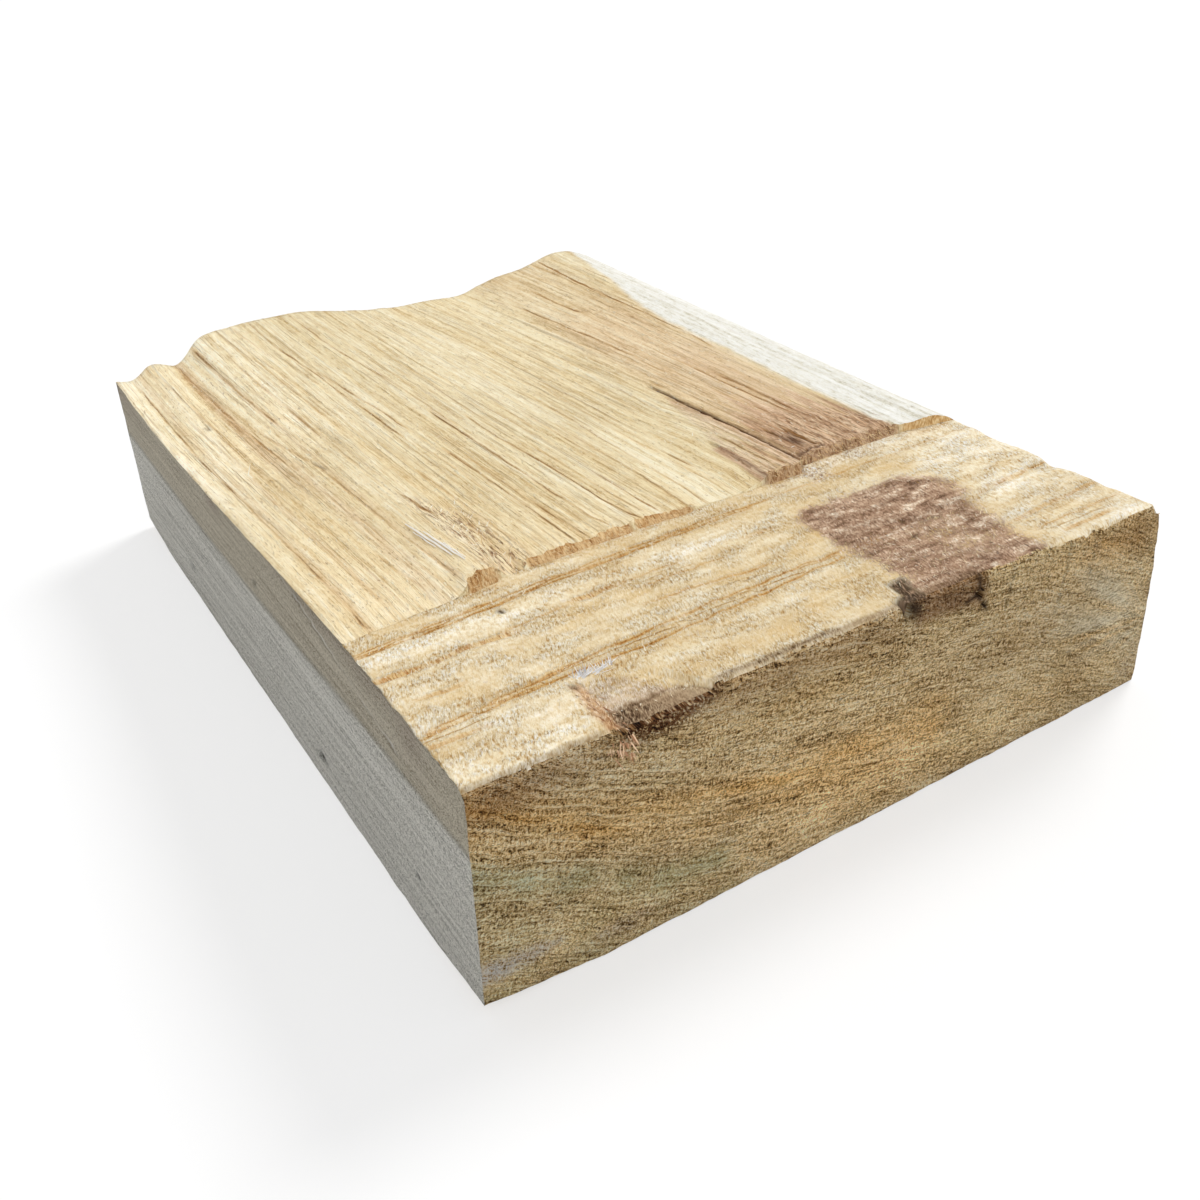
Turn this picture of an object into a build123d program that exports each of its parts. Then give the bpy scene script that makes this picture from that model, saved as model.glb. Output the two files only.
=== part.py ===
"""Rough length of plank timber: riven fluted top, sawn band across the front end, waney right edge."""
import os

from build123d import *

# Overall sizes of the stock: width across the grain, length along it, thickness on edge
stock_width = 254.0
stock_length = 304.8
stock_height = 76.2

# Sawn band across the front end, below the stock's thickness at its two sides
band_drop_left = 1.2
band_drop_right = 2.8
band_depth = 77.0
pass_depth = 33.0
pass_step = 0.5
arris_radius = 3.5

# Raised sliver at the ledge, and the open fissure beside it
sliver_width = 14.8
sliver_length = 72.0
sliver_rise = 3.6
sliver_root = 9.0
fissure_width = 1.8
fissure_depth = 6.0

# Tear-out at the knot, the chip in the front arris and the forked check below it
knot_drop = 2.2
chip_width = 8.0
chip_depth = 6.0
chip_height = 5.0
check_width = 1.3
check_depth = 7.0

# Worn corners of the underside
wear_reach = 34.0
wear_height = 4.0

# Wood left for the saw on the underside and the left face, and how far a cut runs past the wood
saw_allowance = 4.0
overrun = 12.0

# Where the outline's points lie across the width, from the left face
crest_width_shares = (
    0.000, 0.024, 0.060, 0.094, 0.138, 0.177, 0.212, 0.264, 0.319, 0.382,
    0.441, 0.500, 0.563, 0.610, 0.650, 0.693, 0.736, 0.779, 0.823, 0.858,
)
# The riven top's height over that width at the ledge, at mid length and at the rear end
ledge_height_shares = (
    0.982, 0.983, 0.986, 0.988, 0.997, 1.047, 1.005, 1.003, 1.001, 1.003,
    0.997, 0.987, 0.984, 0.992, 1.005, 1.010, 1.013, 1.008, 1.005, 1.003,
)
middle_height_shares = (
    0.879, 0.882, 0.912, 0.921, 0.974, 1.008, 1.003, 1.010, 1.008, 0.997,
    0.987, 0.979, 0.974, 0.976, 0.990, 1.003, 1.013, 1.026, 1.031, 1.024,
)
rear_height_shares = (
    0.871, 0.858, 0.927, 0.891, 1.003, 1.028, 1.037, 1.042, 1.037, 0.997,
    0.966, 0.948, 0.944, 0.937, 0.970, 1.005, 1.018, 1.056, 1.076, 1.052,
)
# The waney edge below the last crest point: height shares, then width shares at front and rear
wane_height_shares = (0.978, 0.945, 0.866, 0.720, 0.538, 0.367, 0.158, 0.000)
front_wane_shares = (0.936, 0.950, 0.961, 0.971, 0.981, 0.988, 0.996, 1.000)
rear_wane_shares = (0.902, 0.914, 0.934, 0.956, 0.973, 0.986, 0.996, 1.000)

# Sections along the grain: place from the front end, top outline, how far the wane has opened
station_shares = (0.000, 0.255, 0.620, 1.000)
station_tops_shares = (
    ledge_height_shares, ledge_height_shares, middle_height_shares, rear_height_shares,
)
wane_opening_shares = (0.000, 0.480, 0.860, 1.000)

# The ledge where the saw stopped: across the width, and back over the band's depth
ledge_shares = (
    (0.000, 0.888), (0.142, 0.934), (0.240, 0.979), (0.382, 0.992), (0.500, 0.992),
    (0.590, 1.005), (0.646, 1.005), (0.656, 1.060), (0.820, 1.070), (0.836, 1.060), (1.000, 1.000),
)
# The last pass of the saw: its far edge over the pass's depth, left and right
pass_edge_shares = (0.770, 1.190)

# The knot's torn patch: across the width, and back over the band's depth
knot_shares = (
    (0.161, 0.318), (0.213, 0.328), (0.277, 0.058), (0.270, 0.000), (0.165, 0.000),
)
# The sliver: left edge across the width; over its length, its width and its rise at each section
sliver_width_share = 0.590
sliver_station_shares = (0.000, 0.430, 0.860, 1.000)
sliver_shift_shares = (0.000, 0.030, 0.490, 0.690)
sliver_span_shares = (1.000, 0.880, 0.320, 0.100)
sliver_rise_shares = (1.000, 0.950, 0.450, 0.150)
sliver_lean_share = 0.070
# The fissure's run: across the width, and back over the stock's length
fissure_shares = ((0.636, 0.526), (0.642, 0.428), (0.648, 0.303), (0.652, 0.254))
fissure_open_shares = (0.350, 1.000, 1.000)
# The chip's place on the front arris, and the forked check's three ends on the end face
chip_width_share = 0.545
check_fork_shares = (0.643, 0.893)
check_end_shares = ((0.652, 0.985), (0.624, 0.972), (0.655, 0.827))

half_width = stock_width / 2
half_length = stock_length / 2
band_slope = (band_drop_left - band_drop_right) / stock_width
band_middle = stock_height - (band_drop_left + band_drop_right) / 2


def across(share):
    """Place across the width."""
    return (share - 1 / 2) * stock_width


def along(share):
    """Place along the grain, from the front end."""
    return (share - 1 / 2) * stock_length


def into_band(share):
    """Place along the grain, by how deep it is in the sawn band."""
    return share * band_depth - half_length


def band_plane(drop):
    """The sawn band's plane, leaning a little to the right."""
    return Plane(origin=(0, 0, band_middle - drop), x_dir=(1, 0, band_slope), z_dir=(-band_slope, 0, 1))


def section_points(heights, opening):
    """Crest points and wane points of one section, left to right, with the allowance for the saw."""
    crest = [(across(w), h * stock_height) for w, h in zip(crest_width_shares, heights)]
    wane = [crest[-1]]
    for height, front, rear in zip(wane_height_shares, front_wane_shares, rear_wane_shares):
        wane.append((across(front + (rear - front) * opening), height * stock_height))
    crest.insert(0, (crest[0][0] - saw_allowance, crest[0][1]))
    wane.append((half_width, -saw_allowance))
    return crest, wane


with BuildPart() as timber_plank:
    # The stock, drawn through its sections along the grain
    for station, heights, opening in zip(station_shares, station_tops_shares, wane_opening_shares):
        crest, wane = section_points(heights, opening)
        with BuildSketch(Plane.XZ.offset(-along(station))):
            with BuildLine():
                corner = (crest[0][0], -saw_allowance)
                Line(corner, crest[0])
                Spline(*crest)
                Spline(*wane)
                Line(wane[-1], corner)
            make_face()
    loft()

    # The underside and the left face, sawn flat
    split(bisect_by=Plane.XY, keep=Keep.TOP)
    split(bisect_by=Plane.YZ.offset(-half_width), keep=Keep.TOP)

    # The sawn band, back to the ledge
    with BuildSketch(band_plane(0)):
        with BuildLine():
            ledge = [(across(w), into_band(d)) for w, d in ledge_shares]
            left = (-half_width - overrun, ledge[0][1])
            right = (half_width + overrun, ledge[-1][1])
            front = -half_length - overrun
            Polyline(left, *ledge, right, (right[0], front), (left[0], front), close=True)
        make_face()
    extrude(amount=stock_height, mode=Mode.SUBTRACT)

    # The last pass of the saw, a little deeper along the front
    with BuildSketch(band_plane(pass_step)):
        with BuildLine():
            far_left = pass_edge_shares[0] * pass_depth - half_length
            far_right = pass_edge_shares[1] * pass_depth - half_length
            Polyline(
                (left[0], far_left), (right[0], far_right), (right[0], front), (left[0], front),
                close=True,
            )
        make_face()
    extrude(amount=stock_height, mode=Mode.SUBTRACT)

    # The eased front arris
    fillet(timber_plank.faces().sort_by(Axis.Y)[0].edges().sort_by(Axis.Z)[-1], arris_radius)

    # The raised sliver that ends at the ledge
    sliver_left = across(sliver_width_share)
    sliver_front = into_band(1)
    sections = zip(sliver_station_shares, sliver_shift_shares, sliver_span_shares, sliver_rise_shares)
    for station, shift, span, rise in sections:
        near = sliver_left + shift * sliver_width
        wide = near + span * sliver_width
        lean = sliver_lean_share * sliver_width
        foot = band_middle - sliver_root
        brow = band_middle + rise * sliver_rise
        with BuildSketch(Plane.XZ.offset(-sliver_front - station * sliver_length)):
            with BuildLine():
                Polyline((near, foot), (near - lean, brow), (wide - lean, brow), (wide, foot), close=True)
            make_face()
    loft()

    # The fissure beside it, a run of thin wedges
    for start, end, opened in zip(fissure_shares, fissure_shares[1:], fissure_open_shares):
        start_x, end_x = across(start[0]), across(end[0])
        start_y, end_y = along(start[1]), along(end[1])
        brow = stock_height + overrun
        half_gap = opened * fissure_width / 2
        with BuildSketch(Plane.XY.offset(brow)):
            with BuildLine():
                Polyline(
                    (start_x - half_gap, start_y), (start_x + half_gap, start_y),
                    (end_x + half_gap, end_y), (end_x - half_gap, end_y), close=True,
                )
            make_face()
        extrude(amount=-overrun - opened * fissure_depth, mode=Mode.SUBTRACT)

    # The torn patch round the knot, dropping towards the front
    knot_back = into_band(knot_shares[1][1])
    knot_plane = Plane(
        origin=(0, knot_back, band_middle),
        x_dir=(1, 0, 0),
        z_dir=(0, -knot_drop / (knot_shares[1][1] * band_depth), 1),
    )
    with BuildSketch(knot_plane):
        with BuildLine():
            torn = [(across(w), into_band(d) - knot_back) for w, d in knot_shares]
            Polyline(*torn[:3], *[(x, y - overrun) for x, y in torn[3:]], close=True)
        make_face()
    extrude(amount=stock_height, mode=Mode.SUBTRACT)

    # The chip in the front arris
    chip_x = across(chip_width_share)
    with BuildSketch(Plane.XY.offset(band_middle - chip_height)):
        with BuildLine():
            Polyline(
                (chip_x - chip_width / 2, chip_depth - half_length),
                (chip_x + chip_width / 2, -half_length - overrun),
                (chip_x - chip_width / 2, -half_length - overrun),
                close=True,
            )
        make_face()
    extrude(amount=stock_height, mode=Mode.SUBTRACT)

    # The forked check on the end face
    fork = (across(check_fork_shares[0]), check_fork_shares[1] * stock_height)
    for end_share in check_end_shares:
        end = (across(end_share[0]), end_share[1] * stock_height)
        run = Vector(end[0] - fork[0], end[1] - fork[1]).normalized()
        side = Vector(-run.Y, run.X) * (check_width / 2)
        with BuildSketch(Plane.XZ.offset(half_length)):
            with BuildLine():
                Polyline(
                    (fork[0] + side.X, fork[1] + side.Y), (fork[0] - side.X, fork[1] - side.Y), end,
                    close=True,
                )
            make_face()
        extrude(amount=-check_depth, mode=Mode.SUBTRACT)

    # The worn corners of the underside, at the left face's two ends
    for place in (-half_length, half_length):
        wear_plane = Plane(
            origin=(-half_width, place, wear_height),
            x_dir=(1, 0, -wear_height / wear_reach),
            z_dir=(wear_height / wear_reach, -wear_height / wear_reach * place / half_length, 1),
        )
        with BuildSketch(wear_plane):
            Rectangle(stock_width, stock_length)
        extrude(amount=-wear_height - overrun, mode=Mode.SUBTRACT)

timber_plank.part.label = "timber_plank"

os.makedirs("parts", exist_ok=True)
export_step(timber_plank.part, "parts/timber_plank.step")
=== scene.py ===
"""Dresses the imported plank: riven grain, sawn band, rough end grain, weathered side and waney edge."""

import bpy
import numpy as np
from mathutils import Matrix, Vector
from mathutils.bvhtree import BVHTree


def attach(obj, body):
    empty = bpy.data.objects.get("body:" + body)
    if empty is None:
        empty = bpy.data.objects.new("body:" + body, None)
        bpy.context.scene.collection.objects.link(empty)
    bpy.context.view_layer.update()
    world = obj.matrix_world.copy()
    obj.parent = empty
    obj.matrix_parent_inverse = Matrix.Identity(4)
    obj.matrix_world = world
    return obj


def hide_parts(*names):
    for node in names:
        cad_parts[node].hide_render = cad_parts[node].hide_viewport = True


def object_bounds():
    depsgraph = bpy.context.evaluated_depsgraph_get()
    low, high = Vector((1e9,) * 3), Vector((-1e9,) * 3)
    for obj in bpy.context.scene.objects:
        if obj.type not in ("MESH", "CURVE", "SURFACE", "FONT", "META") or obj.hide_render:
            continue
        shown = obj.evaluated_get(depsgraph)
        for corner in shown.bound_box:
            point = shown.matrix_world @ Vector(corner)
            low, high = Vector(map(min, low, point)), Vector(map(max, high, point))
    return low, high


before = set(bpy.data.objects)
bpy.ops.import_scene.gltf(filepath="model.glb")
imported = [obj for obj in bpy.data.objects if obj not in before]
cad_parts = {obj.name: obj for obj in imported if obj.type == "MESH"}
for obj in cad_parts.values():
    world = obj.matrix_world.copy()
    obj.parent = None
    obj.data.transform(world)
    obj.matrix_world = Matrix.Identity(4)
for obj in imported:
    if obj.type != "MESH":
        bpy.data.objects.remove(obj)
cad_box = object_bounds()
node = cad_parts["timber_plank"]

# Lengths below are in millimetres, and go to metres when a mesh is made
MM = 0.001
(LEFT, FRONT, _), (RIGHT, REAR, _) = (np.round(np.array(c) / MM, 1).tolist() for c in cad_box)
# Height at which the top's reach to the right is felt
SHOULDER = 72.4
# Points across the riven top and across the band, rows of the band, and rows down each side
FINE, COARSE = 441, 221
ARRIS_ROWS, BAND_ROWS = 5, 64
END_ROWS, SIDE_ROWS, REAR_ROWS, WANE_ROWS = 96, 48, 24, 24
# How far band and riven top stop short of the ledge
LEDGE_GAP = 0.06
# How far inside the edges rays are kept, and how far off they start
EDGE, LIP = 0.03, 0.1
ABOVE, BELOW, BESIDE, AHEAD = 200.0, -50.0, 300.0, -400.0
# Weight of points that only follow their neighbours when the mesh is welded
FOLLOW = 1e-6
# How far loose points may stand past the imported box, across and along
PAST_SIDE, PAST_END = 0.6, 0.8


# Noise, masks and lines

def lattice(ix, iy, seed):
    """Values from 0 to 1 at whole places, the same on each run."""
    bits = (
        ix.astype(np.int64) * 374761393 + iy.astype(np.int64) * 668265263 + seed * 974634541
    ) & 0xFFFFFFFF
    bits = ((bits ^ (bits >> 13)) * 1274126177) & 0xFFFFFFFF
    bits = bits ^ (bits >> 16)
    return (bits & 0xFFFFFF) / float(0x1000000)


def noise(x, y, seed):
    """Smooth value noise from -1 to 1, with cells one unit wide."""
    ix, iy = np.floor(x), np.floor(y)
    fx, fy = x - ix, y - iy
    fx, fy = fx * fx * (3 - 2 * fx), fy * fy * (3 - 2 * fy)
    a, b = lattice(ix, iy, seed), lattice(ix + 1, iy, seed)
    c, d = lattice(ix, iy + 1, seed), lattice(ix + 1, iy + 1, seed)
    return 2 * ((a * (1 - fx) + b * fx) * (1 - fy) + (c * (1 - fx) + d * fx) * fy) - 1


def ease(a, b, v):
    """0 at a and 1 at b, with a soft start and stop."""
    t = np.clip((v - a) / (b - a), 0, 1)
    return t * t * (3 - 2 * t)


def span(v, a, b, soft):
    """1 between a and b, fading over soft at both ends."""
    return ease(a - soft, a + soft, v) * ease(b + soft, b - soft, v)


def blob(x, y, cx, cy, rx, ry):
    """A soft spot: 1 at its middle, fading over its reach both ways."""
    return np.exp(-((x - cx) / rx) ** 2 - ((y - cy) / ry) ** 2)


def blobs(x, y, *spots):
    """A sum of soft spots, each a strength, a middle and a reach both ways."""
    return sum(power * blob(x, y, *spot) for power, *spot in spots)


def line_distance(x, y, points):
    """Distance to a line through some points."""
    best = np.full(np.shape(x), 1e9)
    for (x0, y0), (x1, y1) in zip(points, points[1:]):
        dx, dy = x1 - x0, y1 - y0
        t = np.clip(((x - x0) * dx + (y - y0) * dy) / (dx * dx + dy * dy), 0, 1)
        best = np.minimum(best, np.hypot(x - x0 - t * dx, y - y0 - t * dy))
    return best


def near(x, y, points, width):
    """1 on a line through some points, fading over a width."""
    return ease(width, 0, line_distance(x, y, points))


def inside(x, y, points, soft):
    """1 inside a closed outline, 0 outside, fading over soft."""
    hit = np.zeros(np.shape(x), bool)
    closed = list(points) + [points[0]]
    for (x0, y0), (x1, y1) in zip(closed, closed[1:]):
        cross = (y0 > y) != (y1 > y)
        hit ^= cross & (x < (x1 - x0) * (y - y0) / (y1 - y0 + 1e-12) + x0)
    d = line_distance(x, y, closed)
    return ease(-soft, soft, np.where(hit, d, -d))


def nearest_line(across, along, lines, fade):
    """Signed distance to the nearest of some long lines, its strength there and its half gap."""
    best = np.full(across.shape, 9.0)
    strength, gap = np.zeros(across.shape), np.zeros(across.shape)
    for power, half_gap, points in lines:
        points = sorted(points)
        places, middles = [p[0] for p in points], [p[1] for p in points]
        off = across - np.interp(along, places, middles)
        mark = (
            power * ease(places[0] - fade, places[0] + fade, along)
            * ease(places[-1] + fade, places[-1] - fade, along)
        )
        closer = (np.abs(off) < np.abs(best)) & (mark > 0.02)
        best, strength, gap = (
            np.where(closer, off, best), np.where(closer, mark, strength),
            np.where(closer, half_gap, gap),
        )
    return best, strength, gap


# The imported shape, felt from each side

tree = BVHTree.FromPolygons(
    [v.co * 1000 for v in node.data.vertices], [p.vertices[:] for p in node.data.polygons]
)


def cast(origin, way, axis):
    """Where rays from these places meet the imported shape, along one axis."""
    way = Vector(way)
    places = np.broadcast_arrays(*origin)
    out = np.full(places[0].size, np.nan)
    for n, place in enumerate(np.stack([np.ravel(p) for p in places], 1)):
        hit = tree.ray_cast(Vector(place), way)[0]
        if hit is not None:
            out[n] = hit[axis]
    return out.reshape(places[0].shape)


def tame(y):
    """Keeps places along the grain just inside the two ends."""
    return np.clip(y, FRONT + EDGE, REAR - EDGE)


def from_above(x, y):
    return cast((np.maximum(x, LEFT + EDGE), tame(y), ABOVE), (0, 0, -1), 2)


def from_below(x, y):
    return cast((np.clip(x, LEFT + EDGE, RIGHT - LIP), tame(y), BELOW), (0, 0, 1), 2)


def from_right(y, z):
    return cast((BESIDE, tame(y), np.maximum(z, EDGE)), (-1, 0, 0), 0)


def from_front(x, z):
    return cast((np.maximum(x, LEFT + EDGE), AHEAD, np.maximum(z, EDGE)), (0, 1, 0), 1)


# The ledge where the saw stopped: across, and along the grain
LEDGE = [
    (-127, -84.0), (-90.9, -80.5), (-66, -77.0), (-30, -76.0), (0, -76.0), (21.5, -75.1), (21.8, -75.44),
    (36.9, -75.44), (37.2, -75.0), (39.6, -70.8), (81.3, -70.0), (85.3, -70.8), (127, -75.4),
]


def ledge_y(x):
    """Where along the grain the ledge is."""
    return np.interp(x, [p[0] for p in LEDGE], [p[1] for p in LEDGE])


side_y = np.linspace(FRONT, REAR, 160)
side_x = from_right(side_y, np.full(len(side_y), SHOULDER))
met = ~np.isnan(side_x)
side_x = np.interp(side_y, side_y[met], side_x[met])


def reach(y):
    """How far the top goes to the right."""
    return np.interp(y, side_y, side_x)


def slant(x):
    """How much the grain of the riven top leans."""
    return 0.018 + 0.058 * np.exp(-(x / 80) ** 2)


share_fine = np.linspace(0, 1, FINE)
share = share_fine[::2]
brow = np.full(FINE, -76.0)
for _ in range(4):
    brow = ledge_y(LEFT + share_fine * (reach(brow) - LEFT))

ARRIS = np.array([0, 0.3, 0.7, 1.2, 1.8, 2.5, 3.3, 4.2])
y = np.array(
    [np.full(COARSE, FRONT + a) for a in ARRIS]
    + [
        (1 - t) * (FRONT + ARRIS[-1])
        + t * (brow[::2] - LEDGE_GAP) for t in np.linspace(0, 1, BAND_ROWS + 1)[1:]
    ]
)
x = LEFT + share * (reach(y) - LEFT)
band = np.stack([x, y, from_above(x, y)], 2)

steps = np.concatenate([[0], np.full(10, 0.8), np.linspace(0.9, 2.8, 12), np.full(68, 2.9)]).cumsum()
y = np.array([(brow + LEDGE_GAP) * (1 - q) + REAR * q for q in steps / steps[-1]])
x = LEFT + share_fine * (reach(y) - LEFT)
x = x - slant(x) * (y - brow) * ease(0, 25, x - LEFT) * ease(0, 25, reach(y) - x)
riven = np.stack([x, y, from_above(x, y)], 2)


def end_patch(edge, y0, rows):
    """An end face, hung from the top's edge down to the underside."""
    low = from_below(edge[:, 0], np.full(COARSE, y0))
    low[-1] = 0.0
    fall = np.linspace(0, 1, rows + 1)[:, None]
    z = edge[:, 2] + fall * (low - edge[:, 2])
    far = from_right(np.full(rows + 1, y0), z[:, -1])
    far[0] = edge[-1, 0]
    spread = (edge[:, 0] - LEFT) / (edge[-1, 0] - LEFT)
    x = LEFT + spread * (far[:, None] - LEFT)
    y = np.full_like(x, y0)
    if y0 < 0:
        felt = np.nan_to_num(from_front(x[1:-1, 1:-1], z[1:-1, 1:-1]), nan=y0)
        y[1:-1, 1:-1] = np.clip(felt, y0, y0 + 8)
    return np.stack([x, y, z], 2)


front = end_patch(band[0], FRONT, END_ROWS)
rear = end_patch(riven[-1, ::2], REAR, REAR_ROWS)


def side_patch(edge, rows, left_side):
    """A long side, hung from the top's edge, between the two ends."""
    low = from_below(np.full(len(edge), LEFT), edge[:, 1]) if left_side else np.zeros(len(edge))
    z = edge[:, 2:] + np.linspace(0, 1, rows + 1) * (low[:, None] - edge[:, 2:])
    y = np.repeat(edge[:, 1:2], rows + 1, 1)
    x = np.full_like(y, LEFT) if left_side else from_right(y, z)
    x[:, 0] = edge[:, 0]
    return np.stack([x, y, z], 2)


left = side_patch(np.concatenate([band[1:, 0], riven[:-1, 0]]), SIDE_ROWS, True)
right = side_patch(np.concatenate([band[1:, -1], riven[:-1, -1]]), WANE_ROWS, False)

loop = np.concatenate([front[-1], right[:, -1], rear[-1, ::-1], left[::-1, -1]])
rings = [loop]
for inset in (3.0, 8.0, 18.0, 34.0):
    x, y = loop[:, 0] * (1 - inset / 127), loop[:, 1] * (1 - inset / 152)
    rings.append(np.stack([x, y, from_below(x, y)], 1))
under = np.array(rings)


# Relief and marks of the riven top

# Dark lines of the grain: strength, and points as (along, across)
GRAIN = [
    (0.9, [(150, -120.5), (100, -120), (60, -120.5), (25, -119.3), (-30, -119), (-80, -118.5)]),
    (0.7, [(152, -113), (130, -111.5), (100, -109.6), (80, -108.6), (50, -109)]),
    (0.9, [(150, -95.2), (115, -94.2), (90, -93.6), (58, -92)]),
    (0.9, [(152, -102.6), (110, -101.6), (70, -100.6), (30, -99)]),
    (0.6, [(72, -99), (45, -96.3), (22, -93), (12, -91.8)]),
    (0.6, [(125, -87.6), (90, -86.6), (60, -85.5), (35, -84.8)]),
    (0.6, [(125, -81.2), (100, -79.6), (70, -78.4), (50, -77.4)]),
    (0.5, [(152, -78.2), (130, -76.2), (112, -75)]),
    (1.0, [(152, -70.6), (120, -69.5), (100, -67.6), (85, -66), (60, -65), (48, -63.8), (20, -62)]),
    (0.9, [(84, -64.3), (60, -62), (45, -60), (22, -58)]),
    (0.7, [(152, -53), (120, -51.5), (100, -50), (80, -47), (60, -45), (40, -43.6), (18, -42.6)]),
    (0.4, [(152, -47.6), (122, -46)]),
    (0.5, [(152, -5.6), (120, -5), (98, -3.8)]),
    (0.5, [(30, -112.2), (-10, -111), (-45, -110), (-70, -109.5)]),
    (0.5, [(22, -107), (-30, -106), (-80, -105)]),
    (0.6, [(0, -97), (-30, -95), (-60, -93), (-80, -91)]),
    (0.8, [(-45, -100), (-60, -98.3), (-72, -97)]),
    (0.7, [(10, -92), (-25, -91), (-60, -89), (-76, -88)]),
    (0.6, [(-5, -69), (-40, -66), (-76, -64)]),
    (0.6, [(12, -60.5), (-22, -57), (-45, -55.5)]),
    (1.0, [(2, -54.6), (-25, -52.6), (-50, -51), (-75, -49.8)]),
    (0.8, [(-5, -50.6), (-35, -49), (-60, -47), (-75, -45)]),
    (1.0, [(32, -45), (0, -42.6), (-20, -41.5), (-45, -40), (-65, -38.5), (-76, -36.3)]),
    (1.1, [(22, -35.2), (0, -34.5), (-15, -32.5), (-30, -31), (-55, -29.5), (-70, -27.5), (-77, -25.4)]),
    (0.7, [(-15, -27.6), (-45, -26), (-60, -24.6), (-72, -23)]),
    (0.4, [(30, -21.2), (0, -20)]),
    (0.7, [(12, -17), (-10, -16), (-36, -14.8)]),
    (0.9, [(-40, -21.6), (-60, -20), (-76, -18.8)]),
    (0.8, [(-3, -12.6), (-35, -11), (-50, -9.6), (-76, -9.4)]),
    (0.7, [(25, -6), (0, -5), (-30, -4.5), (-55, -3.5), (-76, -2)]),
    (0.6, [(32, 2), (-10, 3.3), (-34, 3.9)]),
    (0.7, [(44, 4), (10, 7.4), (-8, 8.3)]),
    (1.0, [(-38, 7.4), (-54, 9.2)]),
    (0.8, [(-46, 5), (-66, 7.2)]),
    (0.5, [(-58, 9), (-75, 10)]),
    (0.5, [(58, 23.6), (20, 24.3), (-22, 25)]),
    (0.5, [(92, 20), (66, 18.6)]),
    (0.5, [(140, 11.6), (108, 13)]),
    (0.4, [(152, 35), (122, 36.2)]),
    (0.6, [(152, 45), (122, 46.8)]),
    (1.2, [(124, 51), (105, 52), (92, 53.6), (87, 55)]),
    (0.8, [(118, 38), (90, 40.6), (75, 42), (60, 43.6), (45, 44.6), (18, 45.6), (0, 46.4)]),
    (0.6, [(97, 48.5), (75, 49.6), (48, 48.2)]),
    (1.0, [(45, 54.8), (20, 56.2), (0, 57.2), (-20, 58.3), (-42, 60.2)]),
    (0.8, [(2, 60), (-25, 61.8), (-40, 62.6)]),
    (0.5, [(147, 61.6), (118, 63.2)]),
    (1.3, [(152, 69.4), (120, 69.9), (100, 70.6), (80, 72), (60, 73.2), (42, 74.2)]),
    (0.6, [(152, 66), (128, 68.2)]),
    (1.0, [(128, 79.4), (108, 81.6)]),
    (0.8, [(40, 74.6), (22, 73.8)]),
    (1.0, [(11, 37.3), (4, 37.3)]),
    (0.6, [(-8, 42), (-30, 43)]),
    (0.8, [(-38, 41), (-50, 41.8)]),
    (0.5, [(-12, 50), (-32, 52.4)]),
    (0.7, [(-30, 53), (-60, 54.6)]),
    (0.8, [(-52, 28.8), (-75, 31)]),
    (0.9, [(-45, 44), (-66, 46)]),
    (1.1, [(-50, 50), (-69, 51.4)]),
    (0.9, [(-55, 57), (-69, 58)]),
    (0.8, [(-38, 47.5), (-54, 48.4)]),
    (0.6, [(-25, 66), (-66, 68.5)]),
    (0.6, [(-40, 74), (-68, 76)]),
    (1.3, [(-22, -81.2), (-33, -79.8), (-40, -78)]),
    (0.9, [(-46, 26.6), (-71, 27.8)]),
    (1.2, [(-52, 30.0), (-74, 31.4)]),
    (0.9, [(-36, 33.0), (-72, 34.8)]),
]
FISSURE = ([-74, -45, -22, -14, 7], [38.4, 37.5, 36.5, 35.9, 35.2])
SAPWOOD = ([-75, -40, 0, 40, 80, 110, 150], [83.5, 80, 78.5, 75, 77, 83, 88])
# Stretches of the ledge that show torn ends of the grain: from, to, and how far back the tear leans
TORN_ENDS = [(-88, -77.5, 1.6), (-67, -31, 2.0), (-29, -8, 1.5), (22, 37, 0.7), (40, 84, 1.4)]
# Stretches where the riven top dips to meet the band: from, to, how deep and how far back
FLUSH_ENDS = [(-127, -89, 1.2, 16), (-76.5, -68.5, 2.2, 30), (-7, 20.5, 1.0, 14)]


def blend(*masks):
    """A sum of masks, kept between 0 and 1."""
    return np.clip(sum(np.asarray(v) for v in masks), 0, 1)


def pack(*channels):
    """Three values at each point as one vector."""
    return np.stack(np.broadcast_arrays(*channels), -1)


def settle(x, y, z):
    """Closes the fissure to a hair's breadth at its rear, and lets the wood beside the sliver meet it."""
    out = np.zeros_like(z)
    for n in range(len(z)):
        at, row = y[n, 200], z[n]
        gap = np.abs(x[n] - np.interp(at, *FISSURE)) < 1.3
        if -76 < at < 9:
            brim = np.interp(x[n], x[n][~gap], row[~gap])
            out[n] = np.where(gap, np.maximum(row, brim - 1.2 - 2.5 * ease(-10, -50, at)) - row, 0)
        if -77 < at < -2:
            free = (x[n] > 19) & (x[n] < 34)
            k = np.flatnonzero(free)[np.argmax(np.diff(row)[free[:-1]])]
            step = max(row[k + 2] - row[k - 1] - 0.2 - 1.0 * ease(-38, -50, at), 0)
            out[n] += np.where(np.arange(len(row)) <= k, step * ease(x[n][k] - 15, x[n][k], x[n]), 0)
    return out


# Short cracks in the riven top, and one painted shadow line under the sliver's left edge: strength, width,
# and points as (across, along)
CRACKS_AND_SHADOW_LINE = [
    (0.8, 1.6, [(40.5, -69.5), (46, -67), (52, -69)]),
    (0.75, 0.8, [(44, -47), (45.6, -54), (46, -60)]),
    (0.75, 0.7, [(49.4, -53), (50.4, -60), (50.8, -66)]),
    # Painted shadow under the lifted sliver's left edge, not a crack
    (0.55, 0.9, [(21.7, -76), (21.6, -60), (22.0, -48)]),
    (0.5, 0.8, [(-93.2, 24), (-92.2, 19), (-91.4, 14)]),
]


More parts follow.
